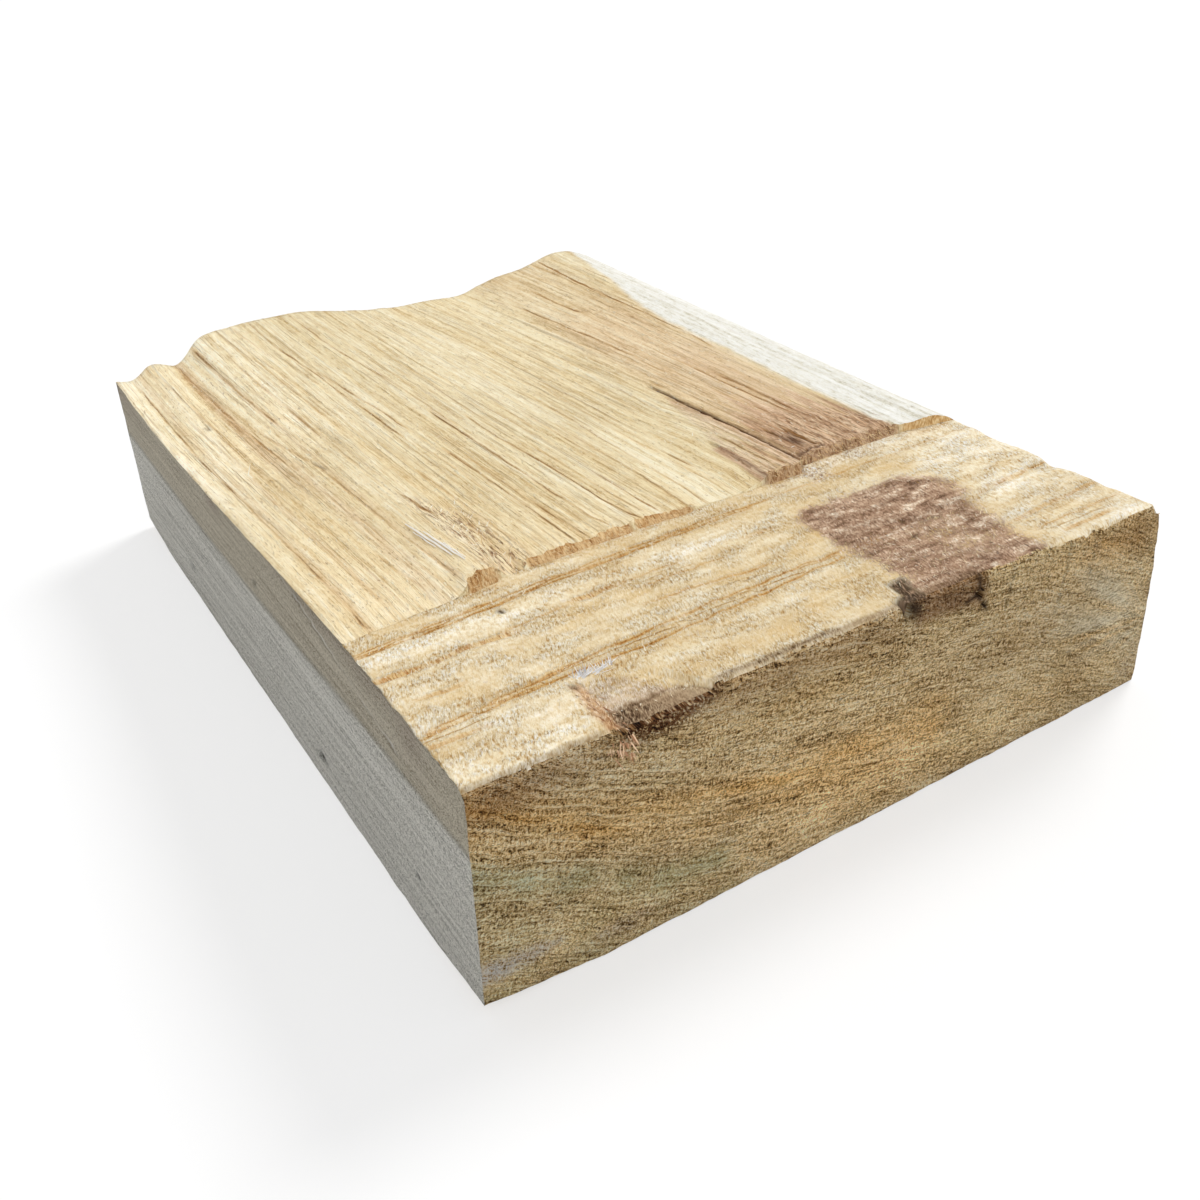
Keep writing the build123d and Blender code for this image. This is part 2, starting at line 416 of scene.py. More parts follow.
def sapwood_share(x, y):
    """1 on the pale sapwood at the right, 0 elsewhere."""
    return ease(
        -1.6, 1.6,
        x - np.interp(y, *SAPWOOD) + 1.0 * noise(y / 9, x * 0, 11) + 0.5 * noise(y / 3, x * 0, 12),
    )


def heartwood_and_slab_shadow(x, y, flow, cream):
    """The brown zone behind the ledge, the slab beside the fissure, and a painted reddish-brown shadow
    left of the slab's edge.
    """
    brown = inside(
        x, y, [(38.5, -78), (38.5, -40), (46, -18), (56, 30), (78, 40), (79, -10), (85, -78)], 6,
    )
    start = (
        y + 11 * noise(flow / 2.1, y * 0, 16) + 9 * noise(flow / 6.3, y * 0, 17)
        + 5 * noise(flow / 1.0, y * 0, 18)
    )
    brown = brown * (0.38 + 0.54 * ease(-20, -52, start)) * (1 - cream)
    # Painted shadow: a reddish-brown wedge left of the lifted sliver's edge, in the brown share
    brown = np.maximum(brown, 0.9 * ease(17.5, 20.8, x) * ease(23.0, 22.3, x) * span(y, -77, -49, 3))
    slab = inside(x, y, [(22, -77), (22.3, -45), (29, -14), (35, 0), (36, -22), (37.6, -77)], 1.0)
    brown = np.maximum(brown, slab * (0.44 + 0.15 * ease(-50, -76, y) + 0.3 * ease(30, 37, x)))
    brown = np.maximum(brown, 0.75 * near(x, y, [(29.5, -52), (31, -72)], 2.0))
    return brown, slab


def blush(x, y, flow, cream):
    """Rosy streaks along the grain."""
    pink = 0.8 * span(x, -119, -116.5, 1.2) + 0.9 * span(x, -103.5, -100, 1.5) * ease(-10, 40, y)
    pink = (
        pink + 0.7 * span(flow, -97, -93, 2.0) * ease(60, 20, y) + 0.6 * span(flow, -110, -108, 1.0)
        + 0.5 * span(flow, -89, -87, 1.0)
    )
    return (
        pink * (0.7 + 0.4 * noise(flow / 2.2, y / 70, 15))
        + span(x, 36, 74, 9) * (1 - cream) * (0.45 + 0.55 * ease(110, 60, y))
    )


def riven_gaps(x, y):
    """The fissure and short cracks, which look almost black, and a painted shadow line under the sliver's
    left edge.
    """
    gap = x - np.interp(y, *FISSURE)
    deep = (
        span(y, -75, 7, 1.5) * ease(-0.75, -0.35, gap)
        * ease(0.45 + 0.85 * ease(0, -30, y), 0.25 + 0.6 * ease(0, -30, y), gap)
    )
    deep = np.maximum(deep, 0.95 * blob(x, y, 47.3, -59, 1.5, 4.5))
    deep = np.maximum(deep, 0.55 * inside(x, y, [(-109.6, 88), (-109.6, 82), (-112, 82.5)], 0.6))
    for power, width, points in CRACKS_AND_SHADOW_LINE:
        deep = np.maximum(deep, power * near(x, y, points, width))
    return deep


def riven_lift(x, y, flow, off, mark, cream, rough, deep):
    """Flutes along the grain, broad at the left, and the height of the relief."""
    flute = noise(flow / (6.5 + 1.8 * ease(-55, -88, x)), y / 300, 21)
    lift = (
        (0.25 + 0.85 * ease(-55, -88, x)) * flute + 0.18 * noise(flow / 2.6, y / 120, 22)
        + 0.08 * noise(flow / 1.2, y / 45, 23)
    )
    lift = lift + 0.16 * noise(np.floor(flow / 4.3), y / 90, 25)
    lift = (
        lift - 0.22 * mark * np.exp(-(off / 0.5) ** 2)
        + 0.12 * mark * np.tanh(off / 0.4) * np.exp(-np.abs(off) / 2.5)
    )
    lift = (
        lift * (1 - 0.55 * cream)
        + rough * (0.45 * noise(x / 1.9, y / 7, 26) + 0.3 * noise(x / 1.0, y / 4, 27)) - 0.8 * deep
    )
    return flute, lift


def riven_move(p, lift):
    """How far each point moves: the relief, the torn ledge and the dips that meet the band."""
    x, y = p[..., 0], p[..., 1]
    fade = ease(0, 1.2, x - LEFT) * ease(0, 2.0, reach(y) - x + 0.2) * ease(0, 1.5, REAR - y + 0.7)
    move = np.zeros_like(p)
    move[..., 2] = lift * fade
    back = sum(lean * span(x, a, b, 0.8) for a, b, lean in TORN_ENDS)
    ragged = (
        0.8 * noise(x / 1.1, y * 0, 35) + 0.5 * noise(x / 3.1, y * 0, 36) + 0.35 * noise(x / 9, y * 0, 37)
    )
    hold = np.maximum(0, 1 - (y - ledge_y(x)) / 6.0)
    move[..., 1] = (back + ragged * (0.3 + 0.7 * np.minimum(back, 1))) * hold * ease(0, 3, x - LEFT)
    move[..., 2] -= 0.25 * back * np.maximum(0, 1 - (y - ledge_y(x)) / 1.2)
    for a, b, dip, run in FLUSH_ENDS:
        move[..., 2] -= dip * span(x, a, b, 1.2) * ease(run, 0, y - ledge_y(x)) * ease(0, 1.2, x - LEFT)
    move[..., 2] += settle(x, y, p[..., 2])
    return move


def riven_look(p):
    """The riven top's moves, grain and zones. Flow is a place across the grain, the same along a fibre."""
    x, y = p[..., 0], p[..., 1]
    flow = x + slant(x) * (y + 75)
    cream = sapwood_share(x, y)
    brown, slab = heartwood_and_slab_shadow(x, y, flow, cream)
    tear = inside(x, y, [(-82, -24), (-76, -30), (-68, -42), (-65, -79), (-80, -79)], 3)
    pink = blush(x, y, flow, cream)
    warm = ease(-30, -100, x) * ease(110, 20, y) * 0.6 + ease(-30, -78, y) * ease(30, -70, x) * 0.7
    off, mark, _ = nearest_line(
        x + 0.12 * noise(y / 5, x * 0, 13), y, [(power, 0, line) for power, line in GRAIN], 5,
    )
    mark = mark * ease(1.5, 0.9, np.abs(off)) * (0.75 + 0.35 * noise(y / 11, np.floor(x / 3), 14))
    deep = riven_gaps(x, y)
    rough = np.maximum(
        tear, inside(x, y, [(40, -71), (41, -48), (54, -40), (84, -52), (84, -71)], 5) * (1 - cream),
    )
    rough = np.maximum(rough, slab * (0.35 + 0.3 * ease(-45, -70, y)))
    flute, lift = riven_lift(x, y, flow, off, mark, cream, rough, deep)
    straw = (
        np.maximum(0.3 * span(x, -40, 30, 25) * ease(0, 60, y), ease(-50, -90, x) * ease(10, 70, y))
        - 0.9 * span(x, -14, 21, 9) * ease(5, -25, y) - 0.6 * ease(-60, -82, x) * ease(30, -10, y)
    )
    # Painted shade: colour darker in the flute troughs and lighter on their crests, plus a random tone
    shade_and_tone = (
        0.5 * flute + 0.5 * noise(np.floor(flow / 4.3), y / 90, 25) + 0.6 * noise(flow / 12, y / 400, 28)
    )
    return (
        riven_move(p, lift), pack(flow, y, shade_and_tone), pack(brown, cream, np.clip(pink, 0, 1)),
        pack(off, mark, np.clip(deep, 0, 1)), pack(rough, np.clip(warm, 0, 1), straw),
    )


# Relief and marks of the sawn band

# Lines that the saw left: strength, half the gap of a double line, and points as (across, along)
SAW = [
    (0.9, 0.0, [(-127, -90.4), (-90, -87.6), (-69, -86.0), (-40, -84.6), (-10, -83.4), (20, -82.9)]),
    (1.1, 0.0, [(-127, -92.4), (-88, -89.7), (-69, -88.0), (-48, -86.9), (-20, -85.4), (6, -84.6)]),
    (0.45, 0.0, [(20, -82.9), (60, -81.6), (110, -80.0)]),
    (1.0, 0.6, [(-127, -104.3), (-112, -104.0), (-100, -102.8), (-87, -103.6)]),
    (0.5, 0.0, [(-87, -101.6), (-68, -100.2)]), (0.9, 0.5, [(-66, -99.6), (-50, -98.8)]),
    (0.45, 0.0, [(-50, -98.6), (-30, -98.4)]), (0.8, 0.4, [(-4.5, -98.0), (4, -98.0)]),
    (0.55, 0.0, [(-48, -104.0), (-17, -103.4)]),
    (0.8, 0.0, [(-50, -111.6), (-32, -112.0), (-18, -113.5), (-9, -113.7)]),
    (0.7, 0.3, [(-120, -116.2), (-109, -116.4)]),
    (1.0, 0.0, [(-122, -127.8), (-96, -125.3), (-71, -123.2), (-38, -120.9), (0, -119.6), (14, -119.2)]),
    (
        1.15, 0.0,
        [(-127, -129.8), (-116, -128.6), (-88, -127.0), (-56, -126.6), (-18, -124.0), (14, -121.6)],
    ),
    (0.6, 0.0, [(14, -120.4), (70, -117)]), (0.9, 0.0, [(72, -116.6), (90, -115.2), (112, -113.0)]),
    (0.7, 0.0, [(78, -115.0), (98, -113.6)]), (0.8, 0.3, [(-127, -133.6), (-111, -133.8)]),
    (0.65, 0.4, [(68, -134.6), (90, -132.8), (113, -131.2)]), (0.5, 0.0, [(72, -141.5), (112, -140.5)]),
    (0.75, 0.3, [(79, -146.6), (99, -146)]),
]
WORN_PATCH = [
    (15.5, -97), (19, -95.2), (40, -95), (63, -95.6), (64.5, -98.6), (71, -99), (73, -104), (72.5, -115),
    (62, -119.5), (40, -121), (14.2, -119), (14, -104),
]
WORN_FRONT = [(15, -115), (70, -114), (66, -140), (64.5, -156), (13, -156), (18, -138), (16, -128)]


def worn_zone(x, y, wx, wy):
    """The brown patch and the worn strip in front of it."""
    patch = np.maximum(
        inside(wx, wy, WORN_PATCH, 3.5),
        (
            0.84 + 0.14 * noise(x / 7, y / 3, 40) + 0.16 * ease(-138, -147, y)
        ) * inside(wx, wy, WORN_FRONT, 6.0),
    )
    return (
        patch
        * (
            1 - 0.35 * ease(62, 70, x) - 0.25 * blob(x, y, 50, -120.5, 7, 1.4)
            - 0.3 * blob(x, y, 50, -135.5, 9, 2.2) - 0.2 * blob(x, y, 47, -127.5, 6, 2)
        )
    )


def knot_zone(y, wx, wy):
    """The torn patch round the knot, and the red fibres at its left."""
    knot = (
        inside(
            wx, wy, [(-86, -131), (-75, -131.5), (-70, -138), (-62, -147), (-60, -156), (-84, -156)], 2.4,
        )
        * (0.55 + 0.45 * ease(-137, -147, y))
    )
    knot = np.maximum(knot, 0.9 * near(wx, wy, [(-85, -133), (-80, -141), (-74, -148)], 1.8))
    red = inside(
        wx, wy,
        [
            (-86.6, -130.8), (-84, -131), (-84, -138), (-83.4, -146), (-84.5, -156), (-86.5, -156),
            (-88.2, -148), (-88.4, -140),
        ],
        1.0,
    )
    return knot, red


def pale_zone(x, y):
    """Where the saw left pale fuzz."""
    pale = (
        blend(0.55 * ease(-55, -105, x), 1.2 * ease(62, 80, x))
        * (0.65 + 0.35 * noise(x / 14, y / 6, 93) + 0.35 * ease(60, 80, x) * ease(-128, -108, y))
    )
    return blend(
        pale, 0.7 * span(y, -98, -92, 2.5) * ease(30, -20, x),
        0.7 * span(x, -127, -92, 6) * ease(-138, -145, y),
    )


def stain_zone(x, y, wx, wy):
    """Dark stains along the front arris."""
    stain = 0.75 * span(x, 14, 40, 4) * ease(-144, -150, y)
    burnt = inside(
        wx, wy, [(-83.5, -144.2), (-77, -142.6), (-66, -143.6), (-57, -148.5), (-55, -157), (-84, -157)],
        0.8,
    )
    bevel = y + 147.6 + 0.02 * (x + 56) + 0.25 * noise(x / 7, y * 0, 94)
    trim = 0.75 * np.exp(-((bevel + 0.4) / 0.9) ** 2) + 0.5 * ease(-0.3, -0.9, bevel)
    return blend(
        stain, 0.95 * burnt, trim * span(x, -56, 8, 2),
        0.6 * span(y, -151.6, -149.8, 0.5) * span(x, -127, -89, 1.5),
    )


def chip_zone(x, y):
    """The chip in the arris, the stain beside it and two small holes."""
    chip = (
        0.95
        * inside(
            x, y,
            [
                (6.2, -154), (6.4, -148.5), (11, -146), (11.5, -140.5), (18, -139.5), (16.5, -146),
                (17, -154),
            ],
            0.9,
        )
    )
    chip = np.maximum(chip, 0.7 * span(x, 14, 42, 3) * ease(-149.5, -151.5, y))
    chip = np.maximum(chip, 1.2 * blob(x, y, -85, -93, 0.9, 1.1))
    return np.clip(np.maximum(chip, 0.8 * blob(x, y, -86, -132, 1.4, 1.4)), 0, 1)


def band_look(p):
    """The sawn band's moves, grain and zones."""
    x, y = p[..., 0], p[..., 1]
    off, mark, gap = nearest_line(y + 0.25 * noise(x / 6, y * 0, 30), x, SAW, 4)
    mark = mark * ease(4.0, 2.6, np.abs(off)) * (0.8 + 0.35 * noise(x / 8, y / 30, 29))
    groove = mark * np.exp(-((np.abs(off) - gap) / 0.75) ** 2)
    wx = x + 0.8 * noise(x / 4.5, y / 4.5, 91) + 0.6 * noise(x / 2, y / 2, 95)
    wy = y + 1.0 * noise(x / 3, y / 6, 92) + 0.9 * noise(x / 1.3, y / 3, 96)
    patch = worn_zone(x, y, wx, wy)
    knot, red = knot_zone(y, wx, wy)
    pale = pale_zone(x, y)
    crumbs = blend(
        span(x, 36, 43.5, 1.5) * span(y, -83, -70, 1.5),
        0.7 * span(x, 43, 80, 3) * span(y, -77.5, -70, 2) * (0.6 + 0.6 * noise(x / 6, y * 0, 98)),
        0.3 * span(x, 80, 100, 4) * span(y, -77, -71, 1.5), 0.6 * blob(x, y, 24, -79, 3, 1.6),
    )
    stain = stain_zone(x, y, wx, wy)
    chip = chip_zone(x, y)
    lift = (
        0.16 * noise(x / 2.6, y / 1.9, 32) + 0.16 * noise(x / 5.0, y / 3.4, 33)
        + 0.2 * noise(x / 70, (y - 0.06 * x) / 8, 34) - 0.5 * groove
    )
    lift = (
        lift - 0.5 * chip + 0.25 * np.maximum(red, knot) * noise(x / 1.6, y / 5, 38)
        + 0.35 * crumbs * (noise(x / 1.7, y / 1.7, 39) + 0.4)
    )
    fade = (
        ease(0, 1.2, x - LEFT) * ease(0, 2.0, reach(y) - x + 0.2) * ease(0, 3.0, y - FRONT)
        * ease(0, 1.5, ledge_y(x) - y)
    )
    move = np.zeros_like(p)
    move[..., 2] = lift * fade
    foot = sum(lean * span(x, a, b, 0.8) for a, b, lean in TORN_ENDS)
    move[..., 1] = -0.5 * foot * np.maximum(0, 1 - (ledge_y(x) - y) / 2.5)
    return (
        move, pack(x, y, chip), pack(patch, np.clip(pale, 0, 1), knot), pack(off, mark, gap),
        pack(red, stain, crumbs),
    )


# Relief and marks of the ends

def ring_place(x, z):
    """Growth rings on the end grain: equal values follow one ring, which falls to the right."""
    xs = np.linspace(-140, 140, 141)
    steep = 0.25 + 0.30 * ease(-35, -95, xs) + 0.28 * ease(45, 115, xs)
    fall = np.interp(x, xs, np.cumsum(steep) * (xs[1] - xs[0]))
    return z + fall + 1.6 * noise(x / 31, z / 23, 5) + 0.7 * noise(x / 11, z / 9, 6)


# Spacing of the rows on the end grain, height of the place where its rays meet, and seeds of the two ends
ROW = 1.55
HUB = 26
FRONT_SEED, REAR_SEED = 41, 51


def end_tints(x, z, ring, along, seed):
    """Broad tints of the end grain: dark, orange, grey and light."""
    dark = (
        blobs(x, z, (0.75, -118, 70, 28, 8), (1, -72, 75, 14, 5))
        + 0.5 * span(x, -60, 8, 10) * ease(56, 72, z) + 0.22 * blob(x, z, 62, 46, 34, 13)
    )
    dark = (
        dark + 1.1 * inside(x, z, [(10, 80), (40, 80), (39, 64), (24, 66), (12, 66)], 3)
        + 0.4 * blob(x, z, 108, 66, 20, 7)
    )
    orange = (
        0.9 * near(x, z, [(-127, 66), (-95, 48), (-60, 36), (-10, 30), (24, 28)], 14)
        + blobs(x, z, (0.2, 12, 14, 34, 8), (0.7, 97, 65, 24, 9), (0.4, -30, 62, 30, 9))
    )
    orange = orange * (0.7 + 0.5 * noise(ring / 4, along / 22, seed + 5))
    grey = (
        0.5 * inside(x, z, [(-132, 57), (-86, 32), (-66, 22), (-50, 15), (-44, -2), (-132, -2)], 3.5)
        + 0.6 * near(x, z, [(-132, 50), (-100, 33), (-72, 19), (-54, 14)], 7)
    )
    grey = grey + blobs(x, z, (0.6, -64, 18, 12, 5), (0.35, 42, 14, 18, 7), (0.25, -30, 60, 22, 6))
    grey = grey * (0.75 + 0.45 * noise(x / 6, z / 5, seed + 6))
    light = blobs(
        x, z, (1, -5, 15, 42, 13), (0.5, 55, 12, 40, 9), (0.8, 108, 34, 16, 12), (0.5, -96, 12, 34, 10),
        (0.3, -12, 42, 40, 14), (0.15, 98, 62, 22, 9),
    )
    return dark, orange, grey, light


def end_marks(x, z):
    """The rays that fan out at the right, the checks, the scuff and the burnt edge."""
    hub = np.hypot(RIGHT - x, z - HUB)
    turn = np.arctan2(z - HUB, RIGHT - x)
    fan = (
        inside(x, z, [(60, 60), (86, 27), (123, 17), (122, 36), (108, 52), (86, 65)], 9)
        * ease(85, 15, hub)
    )
    fan = (
        fan
        * np.clip(
            0.70 + 0.85 * noise(turn * 12, hub / 35, 48) + 0.3 * noise(turn * 25, hub / 20, 49), 0, 1.4,
        )
    )
    crack = near(x, z, [(38.4, 77), (35.5, 70), (36.5, 67), (40.3, 62)], 1.5)
    crack = np.maximum(crack, near(x, z, [(36.2, 68.5), (31.5, 66.5)], 1.3))
    crack = np.maximum(crack, 1.1 * blob(x, z, 10.8, 72, 3.2, 3.2))
    for cx, top, foot, power in ((50, 74, 60, 0.6), (74.5, 74, 48, 0.5), (87, 73, 57, 0.5)):
        crack = np.maximum(crack, power * near(x, z, [(cx, top), (cx - 0.6, foot)], 0.8))
    scuff = (
        0.8 * inside(x, z, [(-130, 11), (-130, 19), (-116, 17), (-104, 14), (-112, 11.5)], 3)
        + blobs(x, z, (0.4, -85, 8, 9, 3), (0.3, 122, 7, 4, 5))
    )
    burnt = inside(x, z, [(-86, 78), (-50, 78), (-57, 71), (-68, 67.5), (-79, 67), (-85, 70)], 2.5)
    burnt = np.maximum(
        burnt,
        0.4 * inside(
            x, z, [(6, 80), (42, 80), (40, 68), (26, 67), (10, 69)], 2,
        ) * (0.8 + 0.5 * noise(x / 4, z / 3, 47)),
    )
    return fan, crack, scuff, burnt


def end_look(p, seed, fine_top):
    """An end's moves, grain and zones. The front end is fine_top, the rear end is smoother."""
    x, z = p[..., 0], p[..., 2]
    side = -1 if fine_top else 1
    ring = ring_place(x, z)
    along = x - 0.35 * z
    dark, orange, grey, light = end_tints(x, z, ring, along, seed)
    bold = 0.25 + 0.75 * ease(-30, -95, x) * ease(20, 55, z)
    row = bold * np.cos(2 * np.pi * ring / ROW * 0.5)
    clump = noise(x / 1.9, z / 1.7, seed + 2) + 0.6 * noise(x / 3.8, z / 3.0, seed + 3)
    relief = 0.30 * row + 0.34 * noise(ring / 1.65, along / 7, seed) + 0.28 * clump
    if not fine_top:
        row, relief = 0 * row, 0.3 * noise(x / 4.5, z / 7, seed) + 0.3 * noise(x / 9, z / 11, seed + 1)
    fade = (
        ease(0, 1.6, x - LEFT) * ease(0, 2.0, p[:, -1:, 0] - x) * ease(0, 1.6, z - p[-1:, :, 2])
        * ease(0, 2.5, p[:1, :, 2] - z)
    )
    move = np.zeros_like(p)
    move[..., 1] = side * (relief + 0.3 * noise(x / 45, z / 30, seed + 4)) * fade
    fan, crack, scuff, burnt = end_marks(x, z)
    if not fine_top:
        dark, fan, crack, scuff, burnt = 0.6 * dark[:, ::-1], 0 * fan, 0 * crack, 0 * scuff, 0 * burnt
    return (
        move, pack(ring, along, z), pack(np.clip(dark, 0, 1), np.clip(orange, 0, 1), np.clip(grey, 0, 1)),
        pack(fan, np.clip(crack, 0, 1), scuff), pack(row, np.clip(light, 0, 1), burnt),
    )


# Relief and marks of the two sides and the underside

CRACK = [(-112, 58.5), (-85, 63.5), (-60, 67.2), (-45, 70), (-22, 73.5)]
OLD_LINE = ([-152, -100, -50, 0, 50, 152], [55, 53, 50, 46.5, 44.5, 44])


def left_look(p):
    y, z = p[..., 1], p[..., 2]
    line = z - np.interp(y, *OLD_LINE)
    off, mark, _ = nearest_line(z + 0.3 * noise(y / 7, z * 0, 60), y, [(1.0, 0, CRACK)], 4)
    mark = mark * ease(2.5, 1.2, np.abs(off)) * (0.65 + 0.6 * noise(y / 6, z * 0, 63))
    spots = blobs(
        y, z, (1, -47, 11, 2.6, 1.4), (1, -117, 19, 1.2, 1.0), (1, -5, 52, 1.6, 0.9),
        (1, -48, 70, 1.4, 1.0),
    )
    spots = spots + blobs(y, z, (0.5, 84, 14, 3, 1.5), (0.5, 107, 26, 2.2, 1.2))
    tint = (
        0.9 * blob(y, z, 32, 65, 8, 3.5) + 0.6 * ease(100, 150, y) * ease(50, 66, z)
        + 0.5 * blob(y, z, -123, 70, 7, 8)
    )
    tint = tint + 0.5 * ease(66, 73, z) * ease(20, -30, y) * ease(-150, -90, y)
    pale = ease(30, -120, y) * ease(42, 6, z)
    inward = (
        0.08 * noise(z / 2.2, y / 70, 61) + 0.05 * noise(z / 1.0, y / 25, 62)
        + 0.22 * ease(-0.7, 0.7, line)
    )
    inward = (
        inward + 0.5 * np.clip(mark, 0, 1) * np.exp(-(off / 0.8) ** 2) + 0.9 * np.clip(spots, 0, 1)
        + 0.7 * blob(y, z, 32, 66.5, 8, 2.5)
    )
    fade = (
        ease(0, 1.5, p[:, :1, 2] - z) * ease(0, 1.5, z - p[:, -1:, 2]) * ease(0, 2, y - FRONT)
        * ease(0, 2, REAR - y)
    )
    move = np.zeros_like(p)
    move[..., 0] = inward * fade
    return (
        move, pack(z, y, 0), pack(ease(-0.8, 0.8, line), line, np.clip(tint, 0, 1)),
        pack(off, np.clip(mark, 0, 1), np.clip(spots, 0, 1)), pack(pale, 0, 0),
    )


def right_look(p):
    y, z = p[..., 1], p[..., 2]
    fade = ease(0, 2.0, p[:, :1, 2] - z) * ease(0, 2.0, z) * ease(0, 3, y - FRONT) * ease(0, 3, REAR - y)
    move = np.zeros_like(p)
    move[..., 0] = (0.5 * noise(z / 9, y / 110, 71) + 0.22 * noise(z / 3.2, y / 50, 72)) * fade
    nothing = np.zeros_like(p)
    sap = ease(22, 2, p[:, :1, 2] - z + 5 * noise(y / 11, z / 30, 73)) * ease(-80, -66, y)
    return move, pack(z, y, 0), pack(sap, 0, 0), nothing, nothing


def under_look(p):
    nothing = np.zeros_like(p)
    return nothing, p.copy(), nothing, nothing, nothing


def ledge_look(p):
    """The torn face between band and riven top, which only follows its neighbours."""
    x, nothing = p[..., 0], np.zeros_like(p)
    torn = sum(span(x, a, b, 0.8) for a, b, _ in TORN_ENDS)
    return (
        nothing, pack(x, p[..., 2], p[..., 1]),
        # Second share: brown on the brown zone's torn ends, and painted shade on the sliver's front end
        pack(torn, blend(span(x, 40, 84, 1.5), 0.75 * span(x, 20.5, 38.5, 1)), ease(84, 88, x)), nothing,
        nothing,
    )


# One closed mesh

points, moves, weights, layers, polygons, slots = [], [], [], [], [], []
SLOTS = ["riven", "sawn", "torn", "end_grain", "weathered", "waney", "underside"]
held = 0


def keep(grid, look, weight=1.0):
    """Keeps a grid's points and looks and gives their numbers. A weightless one follows its neighbours."""
    global held
    move, *marks = look
    points.append(grid.reshape(-1, 3))
    moves.append(move.reshape(-1, 3) * weight)
    weights.append(np.full(grid[..., 0].size, weight))
    layers.append(np.stack([m.reshape(-1, 3) for m in marks], 1))
    numbers = held + np.arange(grid[..., 0].size).reshape(grid.shape[:-1])
    held += grid[..., 0].size
    return numbers


def strip(a, b, slot, flip):
    """Faces between two rows of points, whose counts may differ by a whole factor."""
    many, few = max(len(a), len(b)) - 1, min(len(a), len(b)) - 1
    m = many // few
    for k in range(few):
        if len(a) >= len(b):
            face = [a[m * k], b[k], b[k + 1], *a[m * (k + 1):m * k:-1]]
        else:
            face = [a[k], *b[m * k:m * (k + 1) + 1], a[k + 1]]
        polygons.append(face[::-1] if flip else face)
        slots.append(SLOTS.index(slot))


def sheet(rows, slot, flip):
    """Faces between all neighbouring rows of points."""
    for a, b in zip(rows, rows[1:]):
        strip(a.tolist(), b.tolist(), slot, flip)


band_rows = keep(band, band_look(band))
sheet(band_rows[ARRIS_ROWS:], "sawn", True)

# The rounded arris shows end grain up to a ragged line, and sawn wood above it
arris = band[ARRIS_ROWS::-1]
arris_look = [a[::-1] for a in end_look(arris, FRONT_SEED, True)]
arris_rows = keep(band[:ARRIS_ROWS + 1], [0 * arris_look[0], *arris_look[1:]], FOLLOW)
limit = np.interp(
    band[0, :, 0], [-127, -88, -86, -57, -54, 7, 9, 62, 70, 127], [3, 3, 5, 5, 4, 4, 5, 4.6, 2.4, 2.4],
)
limit = np.round(limit + 0.7 * noise(band[0, :, 0] / 1.7, band[0, :, 0] * 0, 99)).astype(int)
for k in range(ARRIS_ROWS):
    for n in range(COARSE - 1):
        rows, slot = (arris_rows, "end_grain") if k < limit[n] else (band_rows, "sawn")
        polygons.append([rows[k, n], rows[k, n + 1], rows[k + 1, n + 1], rows[k + 1, n]])
        slots.append(SLOTS.index(slot))

sheet(keep(riven, riven_look(riven)), "riven", True)
lower, upper = band[-1:], riven[:1]
sheet(
    [keep(lower, ledge_look(lower), FOLLOW)[0], keep(upper, ledge_look(upper), FOLLOW)[0]], "torn", True,
)
sheet(keep(front, end_look(front, FRONT_SEED, True)), "end_grain", False)
rear_rows = keep(rear, end_look(rear, REAR_SEED, False), FOLLOW)
edge = riven[-1:]
edge_look = [np.repeat(a[:1], 2, 1)[:, :FINE] for a in end_look(rear, REAR_SEED, False)]
edge_look[0] = np.zeros_like(edge)
sheet([keep(edge, edge_look, FOLLOW)[0], *rear_rows[1:]], "end_grain", True)
for grid, look, column, slot, flip in (
    (left, left_look, 0, "weathered", False), (right, right_look, -1, "waney", True),
):
    near_end, far_end = front[None, :, column], rear[None, :, column]
    rows = list(keep(grid, look(grid)))
    rows.insert(0, keep(near_end, look(near_end))[0])
    rows.append(keep(far_end, look(far_end))[0])
    sheet(rows, slot, flip)
closed = np.concatenate([under, under[:, :1]], 1)
under_rows = keep(closed, under_look(closed))
sheet(under_rows, "underside", False)
polygons.append(under_rows[-1, :0:-1].tolist())
slots.append(SLOTS.index("underside"))

points, moves, weights, layers = (
    np.concatenate(points), np.concatenate(moves), np.concatenate(weights), np.concatenate(layers),
)
_, first, weld = np.unique(np.round(points, 3), axis=0, return_index=True, return_inverse=True)
weld = weld.ravel()
place = points[first]
shift = np.zeros_like(place)
np.add.at(shift, weld, moves)
place = place + shift / np.bincount(weld, weights)[:, None]

# A little wander everywhere, so that no edge is ruler straight, and dents along the right arris
px, py, pz = place.T
wander = np.stack([
    0.12 * noise(py / 7, pz / 5 + px / 9, 81) + 0.06 * noise(py / 2.2, pz / 2 + px / 2.5, 82),
    0.20 * noise(px / 7, pz / 5 + py / 9, 83) + 0.10 * noise(px / 2.2, pz / 2 + py / 2.5, 84),
    0.10 * noise(px / 5, py / 5, 85) * ease(0, 6, pz),
], 1)
dents = (
    2.4 * np.exp(-((py + 116) / 4.5) ** 2) + 1.2 * np.exp(-((py + 92) / 5) ** 2)
    + 0.9 * np.exp(-((py + 135) / 2.5) ** 2)
)
wander[:, 0] -= dents * ease(94, 112, px) * ease(40, 66, pz)
rim = ease(70, 73, pz) * ease(-80, -86, py)
wander[:, 0] += rim * ease(-125.5, -127, px) * (
    0.15 + 0.20 * noise(py / 1.5, pz * 0, 86) + 0.12 * noise(py / 5, pz * 0, 87)
)
wander[:, 1] += ease(68, 71, pz) * ease(-150.5, -152, py) * (
    0.25 + 0.45 * noise(px / 1.8, pz * 0, 88) + 0.4 * noise(px / 5, pz * 0, 89)
)
place = place + wander
place[:, 0] = np.clip(place[:, 0], LEFT - PAST_SIDE, RIGHT + PAST_SIDE)
place[:, 1] = np.clip(place[:, 1], FRONT - PAST_END, REAR + PAST_END)
place[:, 2] = np.maximum(place[:, 2], 0.0)

